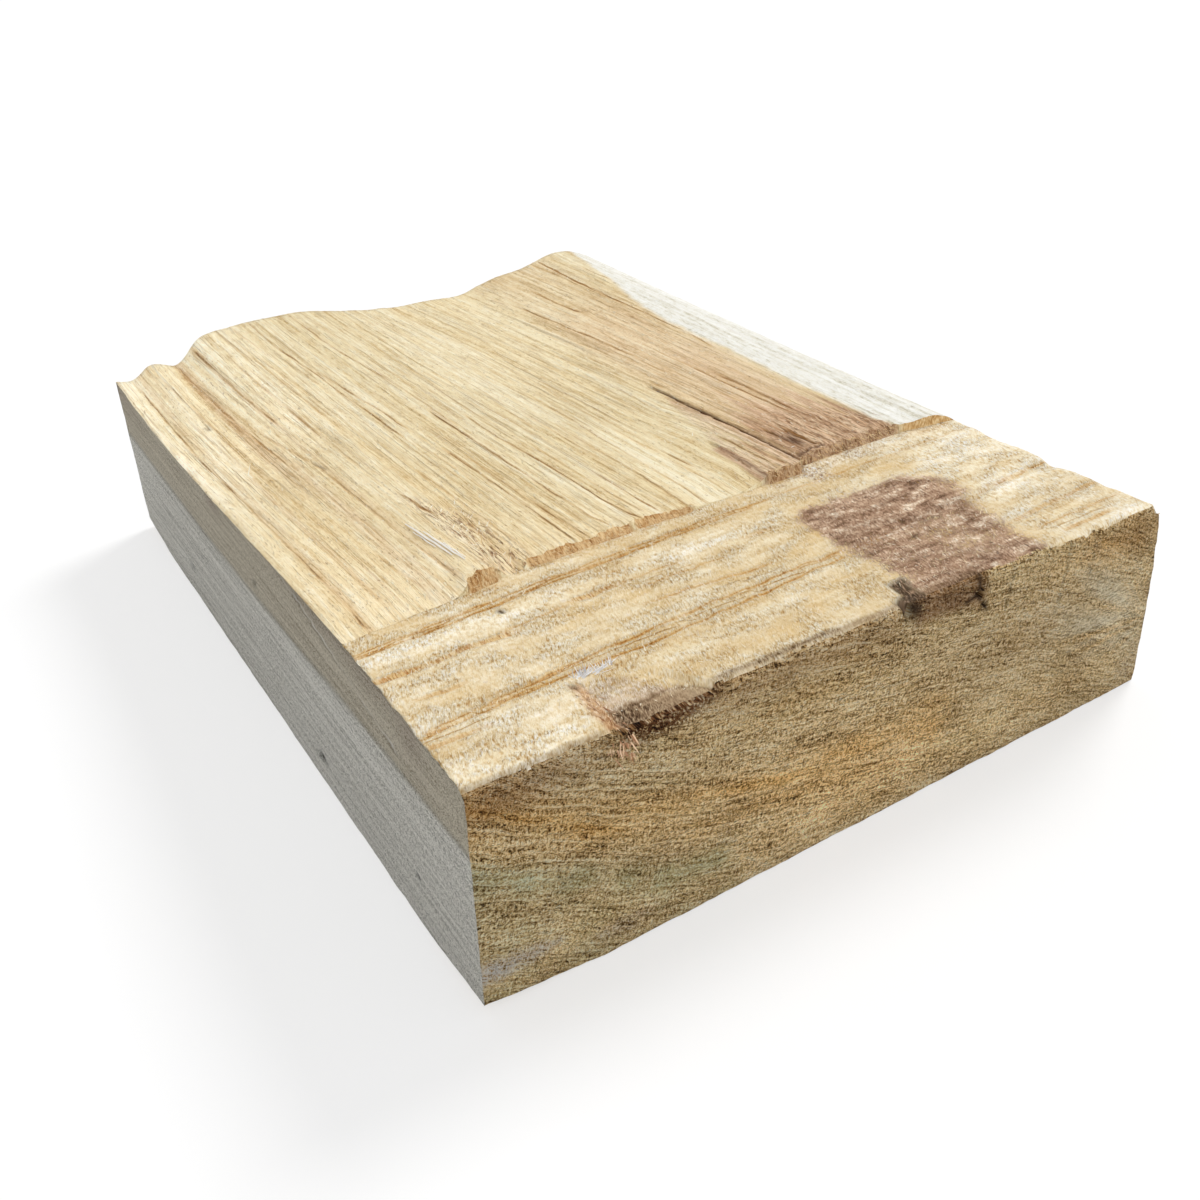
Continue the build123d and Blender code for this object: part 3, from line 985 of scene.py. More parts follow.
mesh = bpy.data.meshes.new("timber")
welded = weld.tolist()
mesh.from_pydata((place * MM).tolist(), [], [[welded[i] for i in face] for face in polygons])
corner = np.array([i for face in polygons for i in face])
for n, label in enumerate(("grain", "zone_a", "zone_b", "zone_c")):
    layer = mesh.attributes.new(label, "FLOAT_VECTOR", "CORNER")
    layer.data.foreach_set("vector", layers[corner, n].astype(np.float32).ravel())
mesh.polygons.foreach_set("material_index", np.array(slots, np.int32))
mesh.polygons.foreach_set("use_smooth", np.ones(len(mesh.polygons), bool))
mesh.update()
timber = bpy.data.objects.new("timber", mesh)
bpy.context.scene.collection.objects.link(timber)

# Materials

class Nodes:
    """Short names for building a material's nodes."""

    def __init__(self, name):
        self.material = bpy.data.materials.new(name)
        self.material.use_nodes = True
        self.tree = self.material.node_tree
        self.shader = self.tree.nodes["Principled BSDF"]

    def new(self, kind, **settings):
        n = self.tree.nodes.new(kind)
        for key, value in settings.items():
            setattr(n, key, value)
        return n

    def put(self, socket, value):
        if isinstance(value, bpy.types.NodeSocket):
            self.tree.links.new(value, socket)
        else:
            socket.default_value = value

    def attribute(self, name):
        return self.new(
            "ShaderNodeAttribute", attribute_type="GEOMETRY", attribute_name=name,
        ).outputs["Vector"]

    def split(self, name):
        n = self.new("ShaderNodeSeparateXYZ")
        self.put(n.inputs[0], self.attribute(name))
        return n.outputs

    def turned(self, vector, degrees):
        n = self.new("ShaderNodeVectorRotate", rotation_type="Z_AXIS")
        self.put(n.inputs["Vector"], vector)
        n.inputs["Angle"].default_value = np.radians(degrees)
        return n.outputs[0]

    def noise(self, vector, by, detail=3.0, rough=0.55, twist=0.0):
        n = self.new("ShaderNodeVectorMath", operation="MULTIPLY")
        self.put(n.inputs[0], vector)
        n.inputs[1].default_value = by
        t = self.new("ShaderNodeTexNoise")
        self.put(t.inputs["Vector"], n.outputs[0])
        t.inputs["Scale"].default_value = 1.0
        t.inputs["Detail"].default_value = detail
        t.inputs["Roughness"].default_value = rough
        t.inputs["Distortion"].default_value = twist
        return t.outputs[0]

    def math(self, kind, a, b=0.0, c=None):
        n = self.new("ShaderNodeMath", operation=kind)
        self.put(n.inputs[0], a)
        self.put(n.inputs[1], b)
        if c is not None:
            self.put(n.inputs[2], c)
        return n.outputs[0]

    def plus(self, a, weight, b):
        """a + weight * b"""
        return self.math("MULTIPLY_ADD", b, weight, a)

    def total(self, *terms, base=0.5):
        """A weighted sum, each term taken about its middle, which is 0.5 unless it is given."""
        out = None
        for value, weight, *middle in terms:
            base -= weight * (middle[0] if middle else 0.5)
            out = self.times(value, weight) if out is None else self.plus(out, weight, value)
        return self.math("ADD", out, base)

    def sway(self, value, amount):
        """A noise value as a sway about zero."""
        return self.math("MULTIPLY", self.math("SUBTRACT", value, 0.5), amount)

    def times(self, a, b):
        return self.math("MULTIPLY", a, b)

    def band(self, value, low, high):
        """0 at low, 1 at high."""
        n = self.new("ShaderNodeMapRange", interpolation_type="SMOOTHSTEP")
        self.put(n.inputs[0], value)
        n.inputs[1].default_value = low
        n.inputs[2].default_value = high
        return n.outputs[0]

    def ramp(self, value, *stops):
        """A colour by value, from stops of a place and a colour."""
        n = self.new("ShaderNodeValToRGB")
        self.put(n.inputs[0], value)
        elements = n.color_ramp.elements
        while len(elements) < len(stops):
            elements.new(0.5)
        for item, (at, *colour) in zip(elements, stops):
            item.position = at
            item.color = (*colour, 1)
        return n.outputs[0]

    def mix(self, factor, a, b, kind="MIX"):
        n = self.new("ShaderNodeMix", data_type="RGBA", blend_type=kind)
        self.put(n.inputs[0], factor)
        for socket, value in ((n.inputs[6], a), (n.inputs[7], b)):
            self.put(socket, (*value, 1) if isinstance(value, tuple) else value)
        return n.outputs[2]

    def tinted(self, factor, colour, by):
        """The colour, multiplied by a tint where the factor is 1."""
        return self.mix(factor, colour, by, "MULTIPLY")

    def over(self, colour, mask, share, top):
        """The colour, covered up to a share by another one where the mask is 1."""
        return self.mix(self.times(mask, share), colour, top)

    def tint(self, colour, mask, share, by):
        """The colour, multiplied up to a share by a tint where the mask is 1."""
        return self.tinted(self.times(mask, share), colour, by)

    def finish(self, colour, height, distance, rough):
        n = self.new("ShaderNodeBump")
        n.inputs["Distance"].default_value = distance
        self.put(n.inputs["Height"], height)
        self.put(self.shader.inputs["Base Color"], colour)
        self.put(self.shader.inputs["Normal"], n.outputs[0])
        self.shader.inputs["Roughness"].default_value = rough
        self.shader.inputs["Specular IOR Level"].default_value = 0.05
        return self.material


def thin_lines(m, grain, across, along, width):
    """Thin lines along the grain that come and go."""
    wave = m.noise(grain, (across, along, 0), 1.0, 0.4)
    line = m.band(m.math("ABSOLUTE", m.math("SUBTRACT", wave, 0.5)), width, 0.0)
    return m.times(line, m.band(m.noise(grain, (across * 0.7, along * 4, 3.0), 2.0), 0.47, 0.62))


def riven_lines(m, colour, grain, line, noises, cream, calm):
    """Faint and drawn lines of the grain, pores and pale shreds."""
    line_d, line_s, _ = line
    streak, fleck = noises
    faint = m.math(
        "MAXIMUM", thin_lines(m, grain, 0.36, 0.0022, 0.012),
        m.times(thin_lines(m, grain, 0.9, 0.005, 0.022), 0.85),
    )
    where = m.band(m.noise(grain, (0.07, 0.018, 6.0), 2.0), 0.36, 0.58)
    dash = m.times(m.band(m.noise(grain, (2.2, 0.05, 1.5), 1.5, 0.5), 0.60, 0.66), where)
    faint = m.math("MAXIMUM", faint, m.times(dash, 0.7))
    faint = m.times(m.times(faint, m.plus(1.0, -0.80, cream)), m.plus(1.0, -0.75, calm))
    colour = m.over(colour, faint, 0.62, (0.50, 0.295, 0.12))
    jag = m.sway(m.noise(grain, (1.4, 0.14, 7.0), 3.0, 0.6), 0.8)
    ragged = m.math("ABSOLUTE", m.math("ADD", line_d, jag))
    halo = m.times(line_s, m.band(ragged, 0.85, 0.1))
    drawn = m.times(
        m.band(m.times(line_s, m.plus(0.1, 1.5, fleck)), 0.25, 1.0), m.band(ragged, 0.42, 0.08),
    )
    colour = m.tint(colour, halo, 0.75, (0.82, 0.66, 0.48))
    colour = m.over(
        colour, drawn, 0.9, m.ramp(streak, (0.40, 0.24, 0.11, 0.035), (0.60, 0.40, 0.205, 0.07)),
    )
    pore = m.band(m.noise(grain, (1.9, 0.50, 1.5), 2.0, 0.5), 0.65, 0.69)
    pore = m.times(pore, m.plus(1.0, -0.6, cream))
    colour = m.over(colour, pore, 0.5, (0.36, 0.20, 0.085))
    shred = m.band(m.noise(m.turned(grain, 9), (1.5, 0.36, 4.5), 2.0, 0.5), 0.655, 0.69)
    colour = m.over(colour, shred, 0.5, (0.94, 0.88, 0.70))
    return colour, (faint, drawn, pore, shred)


def riven_material():
    m = Nodes("riven")
    grain = m.attribute("grain")
    shade_and_tone = m.split("grain")[2]
    brown, cream, pink = m.split("zone_a")
    deep = m.split("zone_b")[2]
    rough, warm, straw = m.split("zone_c")
    broad = m.noise(grain, (0.12, 0.007, 0), 3.0)
    streak = m.noise(grain, (0.60, 0.009, 0), 3.0, 0.6)
    fine = m.noise(grain, (2.6, 0.045, 0), 2.0, 0.6)
    mottle = m.noise(grain, (0.45, 0.14, 0), 4.0, 0.65, 0.3)
    fleck = m.noise(grain, (2.4, 0.55, 0), 2.0, 0.6)
    # The grain's third value paints shade into the flute troughs
    value = m.total(
        (streak, 0.60), (fine, 0.50), (mottle, 0.45), (fleck, 0.32), (broad, 0.45), (shade_and_tone, 0.07, 0.0),
    )
    colour = m.ramp(
        value, (0.24, 0.53, 0.35, 0.15), (0.38, 0.74, 0.58, 0.325), (0.51, 0.84, 0.705, 0.44),
        (0.70, 0.935, 0.85, 0.63),
    )
    colour = m.tinted(warm, colour, (1.07, 1.06, 1.08))
    calm = m.math("MAXIMUM", m.times(straw, -1.0), 0.0)
    colour = m.tinted(m.math("MAXIMUM", straw, 0.0), colour, (1.14, 1.17, 1.25))
    colour = m.over(
        colour, pink, 0.75,
        m.ramp(value, (0.26, 0.46, 0.28, 0.135), (0.47, 0.74, 0.53, 0.315), (0.68, 0.90, 0.74, 0.50)),
    )
    heart = m.ramp(
        value, (0.24, 0.15, 0.065, 0.028), (0.37, 0.40, 0.235, 0.13), (0.51, 0.635, 0.42, 0.265),
        (0.68, 0.85, 0.655, 0.45),
    )
    value = m.plus(value, m.times(calm, -0.6), m.math("SUBTRACT", value, 0.53))
    # The brown share also carries the painted shadow left of the slab's edge
    patchy = m.band(
        m.total((brown, 1.0, 0.0), (streak, 0.8), (mottle, 0.7), (fleck, 0.4), base=0.0), 0.16, 0.90,
    )
    colour = m.mix(patchy, colour, heart)
    sap = m.ramp(
        m.total((streak, 0.8), (mottle, 0.8), (fleck, 0.5)), (0.22, 0.54, 0.50, 0.38),
        (0.38, 0.78, 0.75, 0.64), (0.50, 0.87, 0.855, 0.78), (0.68, 0.94, 0.93, 0.88),
    )
    colour = m.mix(cream, colour, sap)
    torn = m.band(m.noise(grain, (1.3, 0.16, 6.0), 3.0, 0.65, 0.4), 0.53, 0.40)
    colour = m.mix(
        m.times(m.times(rough, torn), 0.9), colour,
        m.ramp(fleck, (0.38, 0.12, 0.05, 0.022), (0.60, 0.47, 0.28, 0.145)),
    )
    splinter = m.times(
        rough, m.band(m.noise(m.turned(grain, 4), (1.5, 0.13, 8.0), 2.0, 0.55, 0.3), 0.56, 0.64),
    )
    colour = m.over(colour, splinter, 0.6, (0.86, 0.68, 0.46))
    line = m.split("zone_b")
    colour, lines = riven_lines(m, colour, grain, line, (streak, fleck), cream, calm)
    faint, drawn, pore, shred = lines
    # Near black in the fissure and cracks, and painted shadow under the sliver's left edge
    colour = m.over(colour, deep, 0.93, (0.075, 0.028, 0.014))
    height = m.total(
        (streak, 0.8), (fine, 0.7), (mottle, 0.5), (fleck, 0.6), (faint, -0.5, 0.0), (drawn, -0.6, 0.0),
        (pore, -0.4, 0.0), (shred, 0.4, 0.0),
    )
    return m.finish(colour, height, 0.0006, 0.62)


def saw_marks(m, colour, grain, line, stroke, hair):
    """The lines that the saw left, with torn teeth along them and a pale lip beside them."""
    line_d, line_s, gap = line
    sway = m.total(
        (m.noise(grain, (1.2, 0.3, 5.0), 2.0, 0.6), 0.8), (m.noise(grain, (0.12, 0.0, 8.0), 2.0), 0.5),
        base=0.0,
    )
    side = m.math("ABSOLUTE", m.math("ADD", line_d, sway))
    off = m.math("ABSOLUTE", m.math("SUBTRACT", side, gap))
    gate = m.band(m.noise(grain, (0.22, 0.5, 9.0), 3.0, 0.65), 0.27, 0.47)
    toothed = m.band(gap, 0.1, 0.5)
    rail = m.times(m.times(m.times(line_s, gate), m.band(off, 0.40, 0.12)), m.plus(1.0, -0.85, toothed))
    teeth = m.times(
        m.band(m.noise(grain, (1.6, 0.16, 5.0), 1.0, 0.5), 0.48, 0.58),
        m.band(m.math("DIVIDE", side, m.plus(0.75, 0.9, gap)), 1.0, 0.55),
    )
    teeth = m.times(m.times(teeth, line_s), m.plus(0.35, 0.65, toothed))
    between = m.times(line_s, m.band(side, 1.7, 0.2))
    colour = m.tint(colour, between, 0.8, (0.97, 0.82, 0.58))
    rust = m.ramp(stroke, (0.32, 0.34, 0.125, 0.02), (0.50, 0.55, 0.26, 0.06), (0.68, 0.74, 0.47, 0.18))
    colour = m.over(colour, teeth, 0.85, m.tinted(toothed, rust, (0.82, 0.70, 0.66)))
    colour = m.over(colour, rail, 0.9, rust)
    lip = m.times(
        m.times(line_s, m.band(m.math("ABSOLUTE", m.plus(off, -1.0, 0.95)), 0.45, 0.1)),
        m.band(hair, 0.45, 0.58),
    )
    colour = m.over(colour, lip, 0.6, (0.97, 0.92, 0.77))
    return colour, rail, teeth, lip


def worn_patch(m, grain, patch, noises, rail, teeth):
    """The brown worn patch: its colour, and where it shows."""
    stroke, hair, tuft, rows = noises
    blotch = m.noise(grain, (0.14, 0.22, 4.0), 4.0, 0.7)
    worn = m.ramp(
        m.total((stroke, 0.55), (hair, 0.70), (tuft, 0.25), (rows, 0.55), (blotch, 1.5)),
        (0.16, 0.055, 0.025, 0.014), (0.32, 0.225, 0.122, 0.072), (0.50, 0.415, 0.262, 0.170),
        (0.66, 0.595, 0.425, 0.295), (0.84, 0.90, 0.78, 0.62),
    )
    flake = m.band(m.noise(m.turned(grain, 10), (0.42, 0.75, 11.0), 2.0, 0.55), 0.60, 0.66)
    worn = m.mix(m.times(flake, m.band(blotch, 0.50, 0.66)), worn, (0.90, 0.78, 0.63))
    gash = m.band(m.noise(m.turned(grain, 8), (1.7, 0.34, 13.0), 2.0, 0.5), 0.58, 0.66)
    worn = m.mix(m.times(gash, 0.8), worn, (0.12, 0.06, 0.035))
    mask = m.band(
        m.total((patch, 1.0, 0.0), (tuft, 0.9), (stroke, 1.5), (hair, 0.9), (blotch, 0.8), base=0.0),
        0.22, 0.72,
    )
    worn = m.tinted(m.math("MAXIMUM", m.times(rail, 0.6), m.times(teeth, 0.6)), worn, (0.62, 0.46, 0.40))
    return worn, mask


def sawn_material():
    m = Nodes("sawn")
    grain = m.attribute("grain")
    chip = m.split("grain")[2]
    patch, pale, knot = m.split("zone_a")
    red, stain, crumbs = m.split("zone_c")
    broad = m.noise(grain, (0.05, 0.09, 0), 3.0)
    rows = m.noise(m.turned(grain, -2.5), (0.025, 0.42, 0), 3.0, 0.6)
    tuft = m.noise(grain, (0.80, 0.50, 0), 2.0, 0.55, 0.3)
    stroke = m.noise(m.turned(grain, 18), (1.5, 0.45, 0), 2.0, 0.55, 0.3)
    hair = m.noise(m.turned(grain, 24), (3.4, 0.8, 0), 2.0, 0.6)
    cloud = m.noise(grain, (0.05, 0.11, 3.0), 3.0, 0.6)
    fuzz = m.band(m.noise(grain, (0.07, 0.14, 12.0), 3.0, 0.6), 0.40, 0.62)
    fur = m.times(m.total((stroke, 1.0), (hair, 1.05), base=0.0), m.plus(0.3, 0.7, fuzz))
    value = m.math("ADD", m.total((tuft, 0.30), (rows, 0.32), (broad, 0.50), base=0.52), fur)
    colour = m.ramp(
        value, (0.25, 0.45, 0.25, 0.085), (0.37, 0.605, 0.43, 0.215), (0.49, 0.705, 0.55, 0.32),
        (0.60, 0.79, 0.66, 0.44), (0.73, 0.92, 0.85, 0.69),
    )
    fleece = m.ramp(
        value, (0.25, 0.57, 0.37, 0.165), (0.38, 0.76, 0.605, 0.36), (0.50, 0.835, 0.73, 0.50),
        (0.60, 0.90, 0.83, 0.65), (0.73, 0.97, 0.94, 0.87),
    )
    fuzzy = m.math("MAXIMUM", pale, m.times(m.band(cloud, 0.50, 0.66), 0.6))
    colour = m.mix(m.times(fuzzy, m.band(tuft, 0.28, 0.60)), colour, fleece)
    colour = m.tinted(
        m.times(m.band(cloud, 0.50, 0.36), m.plus(0.6, -0.6, pale)), colour, (0.97, 0.89, 0.74),
    )
    colour = m.tinted(pale, colour, (1.05, 1.06, 1.10))
    dab = m.times(
        m.band(m.noise(m.turned(grain, 18), (0.85, 0.36, 6.0), 1.5), 0.60, 0.64), m.plus(0.2, 0.8, fuzz),
    )
    colour = m.over(colour, dab, 0.5, (0.94, 0.89, 0.75))
    nick = m.times(
        m.band(m.noise(m.turned(grain, 18), (1.1, 0.42, 9.0), 1.5), 0.62, 0.665), m.plus(0.1, 0.9, fuzz),
    )
    colour = m.over(colour, nick, 0.65, (0.52, 0.315, 0.125))
    colour, rail, teeth, lip = saw_marks(m, colour, grain, m.split("zone_b"), stroke, hair)
    worn, mask = worn_patch(m, grain, patch, (stroke, hair, tuft, rows), rail, teeth)
    colour = m.over(colour, mask, 0.97, worn)
    greyed = m.ramp(
        value, (0.28, 0.11, 0.058, 0.03), (0.42, 0.36, 0.245, 0.155), (0.57, 0.60, 0.455, 0.32),
        (0.76, 0.86, 0.76, 0.62),
    )
    soft = m.band(
        m.total((knot, 1.0, 0.0), (stroke, 1.5), (hair, 0.8), (tuft, 1.0), base=0.0), 0.15, 0.85,
    )
    colour = m.over(colour, soft, 0.95, greyed)
    reddish = m.ramp(
        value, (0.24, 0.20, 0.075, 0.025), (0.44, 0.45, 0.235, 0.105), (0.58, 0.66, 0.41, 0.215),
        (0.76, 0.86, 0.66, 0.44),
    )
    colour = m.over(colour, red, 0.9, reddish)
    colour = m.mix(
        m.times(crumbs, m.band(m.math("ABSOLUTE", m.math("SUBTRACT", tuft, 0.5)), 0.01, 0.07)), colour,
        m.ramp(
            m.total((tuft, 0.6), (hair, 0.8)), (0.32, 0.25, 0.15, 0.09), (0.46, 0.52, 0.37, 0.24),
            (0.54, 0.80, 0.71, 0.58), (0.66, 0.95, 0.93, 0.89),
        ),
    )
    colour = m.over(
        colour, stain, 0.9,
        m.ramp(value, (0.28, 0.035, 0.017, 0.009), (0.46, 0.16, 0.092, 0.047), (0.68, 0.46, 0.33, 0.19)),
    )
    colour = m.mix(
        chip, colour,
        m.ramp(
            m.total((stroke, 1.0), (hair, 0.5)), (0.40, 0.028, 0.014, 0.008), (0.54, 0.10, 0.055, 0.03),
            (0.70, 0.36, 0.24, 0.15),
        ),
    )
    height = m.total(
        (tuft, 0.7), (fur, 0.9, 0.0), (rail, -0.5, 0.0), (teeth, -0.3, 0.0), (lip, 0.3, 0.0),
        (dab, 0.3, 0.0), (nick, -0.3, 0.0),
    )
    return m.finish(colour, height, 0.0007, 0.75)


def torn_material():
    m = Nodes("torn")
    grain = m.attribute("grain")
    torn, brown, curl = m.split("zone_a")
    fibre = m.noise(grain, (2.0, 0.7, 0.5), 3.0, 0.6, 0.4)
    value = m.total((fibre, 0.9), (m.noise(grain, (0.30, 0.2, 0.0), 2.0), 0.6))
    colour = m.ramp(value, (0.26, 0.60, 0.42, 0.20), (0.46, 0.79, 0.64, 0.37), (0.66, 0.91, 0.81, 0.57))
    colour = m.mix(
        torn, colour,
        m.ramp(value, (0.26, 0.22, 0.09, 0.03), (0.44, 0.50, 0.275, 0.105), (0.64, 0.78, 0.57, 0.31)),
    )
    # Brown on the brown zone's torn ends, and painted shade on the sliver's front end
    colour = m.over(
        colour, brown, 0.8,
        m.ramp(value, (0.26, 0.07, 0.03, 0.014), (0.46, 0.27, 0.15, 0.085), (0.66, 0.56, 0.38, 0.25)),
    )
    colour = m.over(
        colour, curl, 0.9,
        m.ramp(value, (0.26, 0.30, 0.125, 0.03), (0.46, 0.58, 0.33, 0.115), (0.66, 0.82, 0.62, 0.34)),
    )
    return m.finish(colour, fibre, 0.0006, 0.8)


def end_material():
    m = Nodes("end_grain")
    grain = m.attribute("grain")
    ring = m.split("grain")[0]
    dark, orange, grey = m.split("zone_a")
    fan, crack, scuff = m.split("zone_b")
    row, light, burnt = m.split("zone_c")
    wobble = m.sway(m.noise(grain, (0.30, 0.16, 0.0), 3.0, 0.6), 4.5)
    turn = m.times(m.math("ADD", ring, wobble), 2 * np.pi / ROW)
    rows = m.times(m.math("COSINE", turn), m.band(m.noise(grain, (0.30, 0.20, 2.0), 2.0), 0.38, 0.66))
    ridge = m.noise(grain, (0.95, 0.06, 0.0), 3.0, 0.6, 0.15)
    tuft = m.noise(grain, (1.3, 1.0, 0.0), 2.0, 0.55, 0.2)
    comb = m.noise(grain, (0.0, 1.7, 0.45), 2.0, 0.55, 0.2)
    speck = m.noise(grain, (2.8, 2.6, 0.0), 1.0, 0.6)
    ray = m.noise(grain, (0.50, 0.025, 5.0), 2.0)
    broad = m.noise(grain, (0.10, 0.03, 0.0), 3.0)
    value = m.total(
        (rows, 0.15, 0.0), (row, 0.11, 0.0), (ridge, 0.90), (tuft, 1.05), (comb, 1.0), (speck, 1.15),
        (broad, 0.60), (ray, 0.80), base=0.525,
    )
    colour = m.ramp(
        value, (0.08, 0.025, 0.013, 0.005), (0.25, 0.20, 0.115, 0.042), (0.44, 0.56, 0.365, 0.155),
        (0.61, 0.83, 0.60, 0.305), (0.83, 1.0, 0.89, 0.62),
    )
    pit = m.band(m.noise(grain, (1.15, 0.70, 7.0), 1.5, 0.5), 0.60, 0.65)
    colour = m.over(colour, pit, 0.9, (0.065, 0.035, 0.012))
    dab = m.band(m.noise(grain, (1.1, 0.70, 0.45), 1.5, 0.5), 0.60, 0.65)
    colour = m.over(colour, dab, 0.75, (0.95, 0.76, 0.43))
    split = thin_lines(m, grain, 0.60, 0.035, 0.035)
    colour = m.over(colour, split, 0.65, (0.10, 0.055, 0.02))
    strand = thin_lines(m, m.turned(grain, 1.5), 0.66, 0.04, 0.035)
    colour = m.over(colour, strand, 0.55, (0.86, 0.66, 0.32))
    colour = m.tint(colour, orange, 0.9, (1.10, 0.89, 0.58))
    colour = m.tint(colour, grey, 0.95, (0.70, 0.80, 0.80))
    colour = m.tint(colour, dark, 0.95, (0.50, 0.40, 0.36))
    colour = m.tinted(light, colour, (1.34, 1.30, 1.24))
    colour = m.over(
        colour, fan, 0.7,
        m.ramp(
            m.total((value, 0.6), (ray, 1.5)), (0.22, 0.26, 0.19, 0.09), (0.46, 0.68, 0.57, 0.36),
            (0.70, 0.95, 0.88, 0.68),
        ),
    )
    colour = m.mix(m.times(scuff, m.band(value, 0.30, 0.66)), colour, (0.60, 0.575, 0.56))
    colour = m.tinted(m.times(burnt, m.band(tuft, 0.66, 0.48)), colour, (0.26, 0.165, 0.13))
    colour = m.over(colour, crack, 0.92, (0.025, 0.013, 0.008))
    return m.finish(
        colour,
        m.total((value, 1.0), (split, -0.3, 0.0), (strand, 0.2, 0.0), (pit, -0.3, 0.0), (dab, 0.2, 0.0)),
        0.0009, 0.8,
    )


def weathered_material():
    m = Nodes("weathered")
    grain = m.attribute("grain")
    upper, line, tint = m.split("zone_a")
    crack_d, crack_s, spots = m.split("zone_b")
    pale = m.split("zone_c")[0]
    streak = m.noise(grain, (0.5, 0.007, 0), 3.0, 0.6)
    fine = m.noise(grain, (2.2, 0.035, 0), 3.0, 0.6)
    dust = m.noise(grain, (1.1, 0.8, 0), 4.0, 0.7)
    grit = m.noise(grain, (3.5, 2.6, 0), 2.0, 0.6)
    value = m.total((streak, 1.7), (fine, 1.8), (dust, 3.4), (grit, 5.6), base=0.76)
    colour = m.ramp(
        value, (0.10, 0.25, 0.24, 0.205), (0.42, 0.50, 0.48, 0.415), (0.62, 0.65, 0.63, 0.555),
        (0.86, 0.92, 0.90, 0.83),
    )
    warm = m.ramp(
        value, (0.05, 0.25, 0.21, 0.145), (0.42, 0.43, 0.375, 0.275), (0.64, 0.55, 0.485, 0.365),
        (0.95, 0.72, 0.665, 0.545),
    )
    colour = m.mix(upper, colour, warm)
    scratch = m.band(m.noise(grain, (1.5, 0.010, 4.0), 2.0), 0.56, 0.66)
    colour = m.mix(m.times(m.times(pale, scratch), 0.7), colour, (0.66, 0.64, 0.60))
    seam = m.band(m.math("ABSOLUTE", m.math("ADD", line, m.sway(dust, 1.2))), 1.5, 0.1)
    colour = m.tint(colour, seam, 0.55, (0.62, 0.61, 0.58))
    colour = m.over(colour, tint, 0.6, m.ramp(value, (0.36, 0.20, 0.14, 0.11), (0.62, 0.38, 0.29, 0.235)))
    white = m.times(
        crack_s, m.band(m.math("ABSOLUTE", m.math("ADD", crack_d, m.sway(dust, 1.2))), 0.75, 0.1),
    )
    shade = m.times(crack_s, m.band(m.math("ABSOLUTE", m.math("ADD", crack_d, 1.0)), 0.8, 0.1))
    colour = m.tint(colour, shade, 0.6, (0.45, 0.42, 0.38))
    colour = m.over(colour, white, 0.85, (0.76, 0.73, 0.66))
    colour = m.mix(spots, colour, (0.03, 0.026, 0.02))
    return m.finish(colour, m.plus(value, -0.4, seam), 0.0003, 0.7)


def waney_material():
    m = Nodes("waney")
    grain = m.attribute("grain")
    streak = m.noise(grain, (0.35, 0.006, 0), 4.0, 0.6)
    fine = m.noise(grain, (1.8, 0.022, 0), 3.0, 0.6)
    mottle = m.noise(grain, (0.30, 0.05, 0), 4.0, 0.65)
    fleck = m.noise(grain, (2.2, 0.35, 0), 2.0, 0.6)
    value = m.total((streak, 0.8), (fine, 0.7), (mottle, 0.7), (fleck, 0.4))
    colour = m.ramp(
        value, (0.24, 0.40, 0.32, 0.205), (0.40, 0.60, 0.52, 0.375), (0.52, 0.70, 0.63, 0.485),
        (0.72, 0.82, 0.775, 0.66),
    )
    sap = m.split("zone_a")[0]
    colour = m.over(
        colour, sap, 0.85,
        m.ramp(value, (0.24, 0.56, 0.51, 0.39), (0.44, 0.78, 0.745, 0.63), (0.68, 0.92, 0.905, 0.84)),
    )
    bark = m.band(
        m.total((m.noise(grain, (0.07, 0.012, 4.0), 4.0, 0.65), 1.0, 0.0), (fine, 0.25), base=0.0), 0.56,
        0.68,
    )
    bark = m.times(bark, m.plus(1.0, -1.0, sap))
    colour = m.over(
        colour, bark, 0.75,
        m.ramp(value, (0.28, 0.13, 0.075, 0.04), (0.50, 0.30, 0.20, 0.12), (0.72, 0.52, 0.40, 0.27)),
    )
    lines = m.math(
        "MAXIMUM", thin_lines(m, grain, 0.25, 0.003, 0.012),
        m.times(thin_lines(m, grain, 0.7, 0.006, 0.02), 0.7),
    )
    colour = m.over(colour, lines, 0.55, (0.36, 0.25, 0.14))
    return m.finish(colour, m.total((value, 1.0), (lines, -0.4, 0.0), (bark, 0.35, 0.0)), 0.0010, 0.65)


def underside_material():
    m = Nodes("underside")
    grain = m.attribute("grain")
    streak = m.noise(grain, (0.4, 0.006, 0), 4.0, 0.6)
    chatter = m.noise(grain, (0.010, 0.33, 0), 3.0, 0.6)
    fine = m.noise(grain, (1.9, 0.10, 0), 4.0, 0.65)
    value = m.plus(m.plus(m.times(streak, 0.45), 0.27, chatter), 0.28, fine)
    colour = m.ramp(value, (0.36, 0.38, 0.29, 0.18), (0.50, 0.57, 0.46, 0.30), (0.64, 0.69, 0.58, 0.41))
    return m.finish(colour, value, 0.0012, 0.75)


def fibre_material():
    m = Nodes("fibre")
    tint = m.attribute("tint")
    grime = m.noise(tint, (23.0, 19.0, 29.0), 2.0)
    return m.finish(m.tinted(m.band(grime, 0.75, 0.2), tint, (0.92, 0.88, 0.82)), grime, 0.0002, 0.7)


for build in (
    riven_material, sawn_material, torn_material, end_material, weathered_material, waney_material,
    underside_material,
):
    mesh.materials.append(build())

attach(timber, "root")
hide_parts("timber_plank")

# Loose fibres that the saw and the split left standing

rng = np.random.default_rng(7)
skin = BVHTree.FromPolygons(place.tolist(), [[welded[i] for i in face] for face in polygons])
blade_points, blade_faces, blade_tints = [], [], []


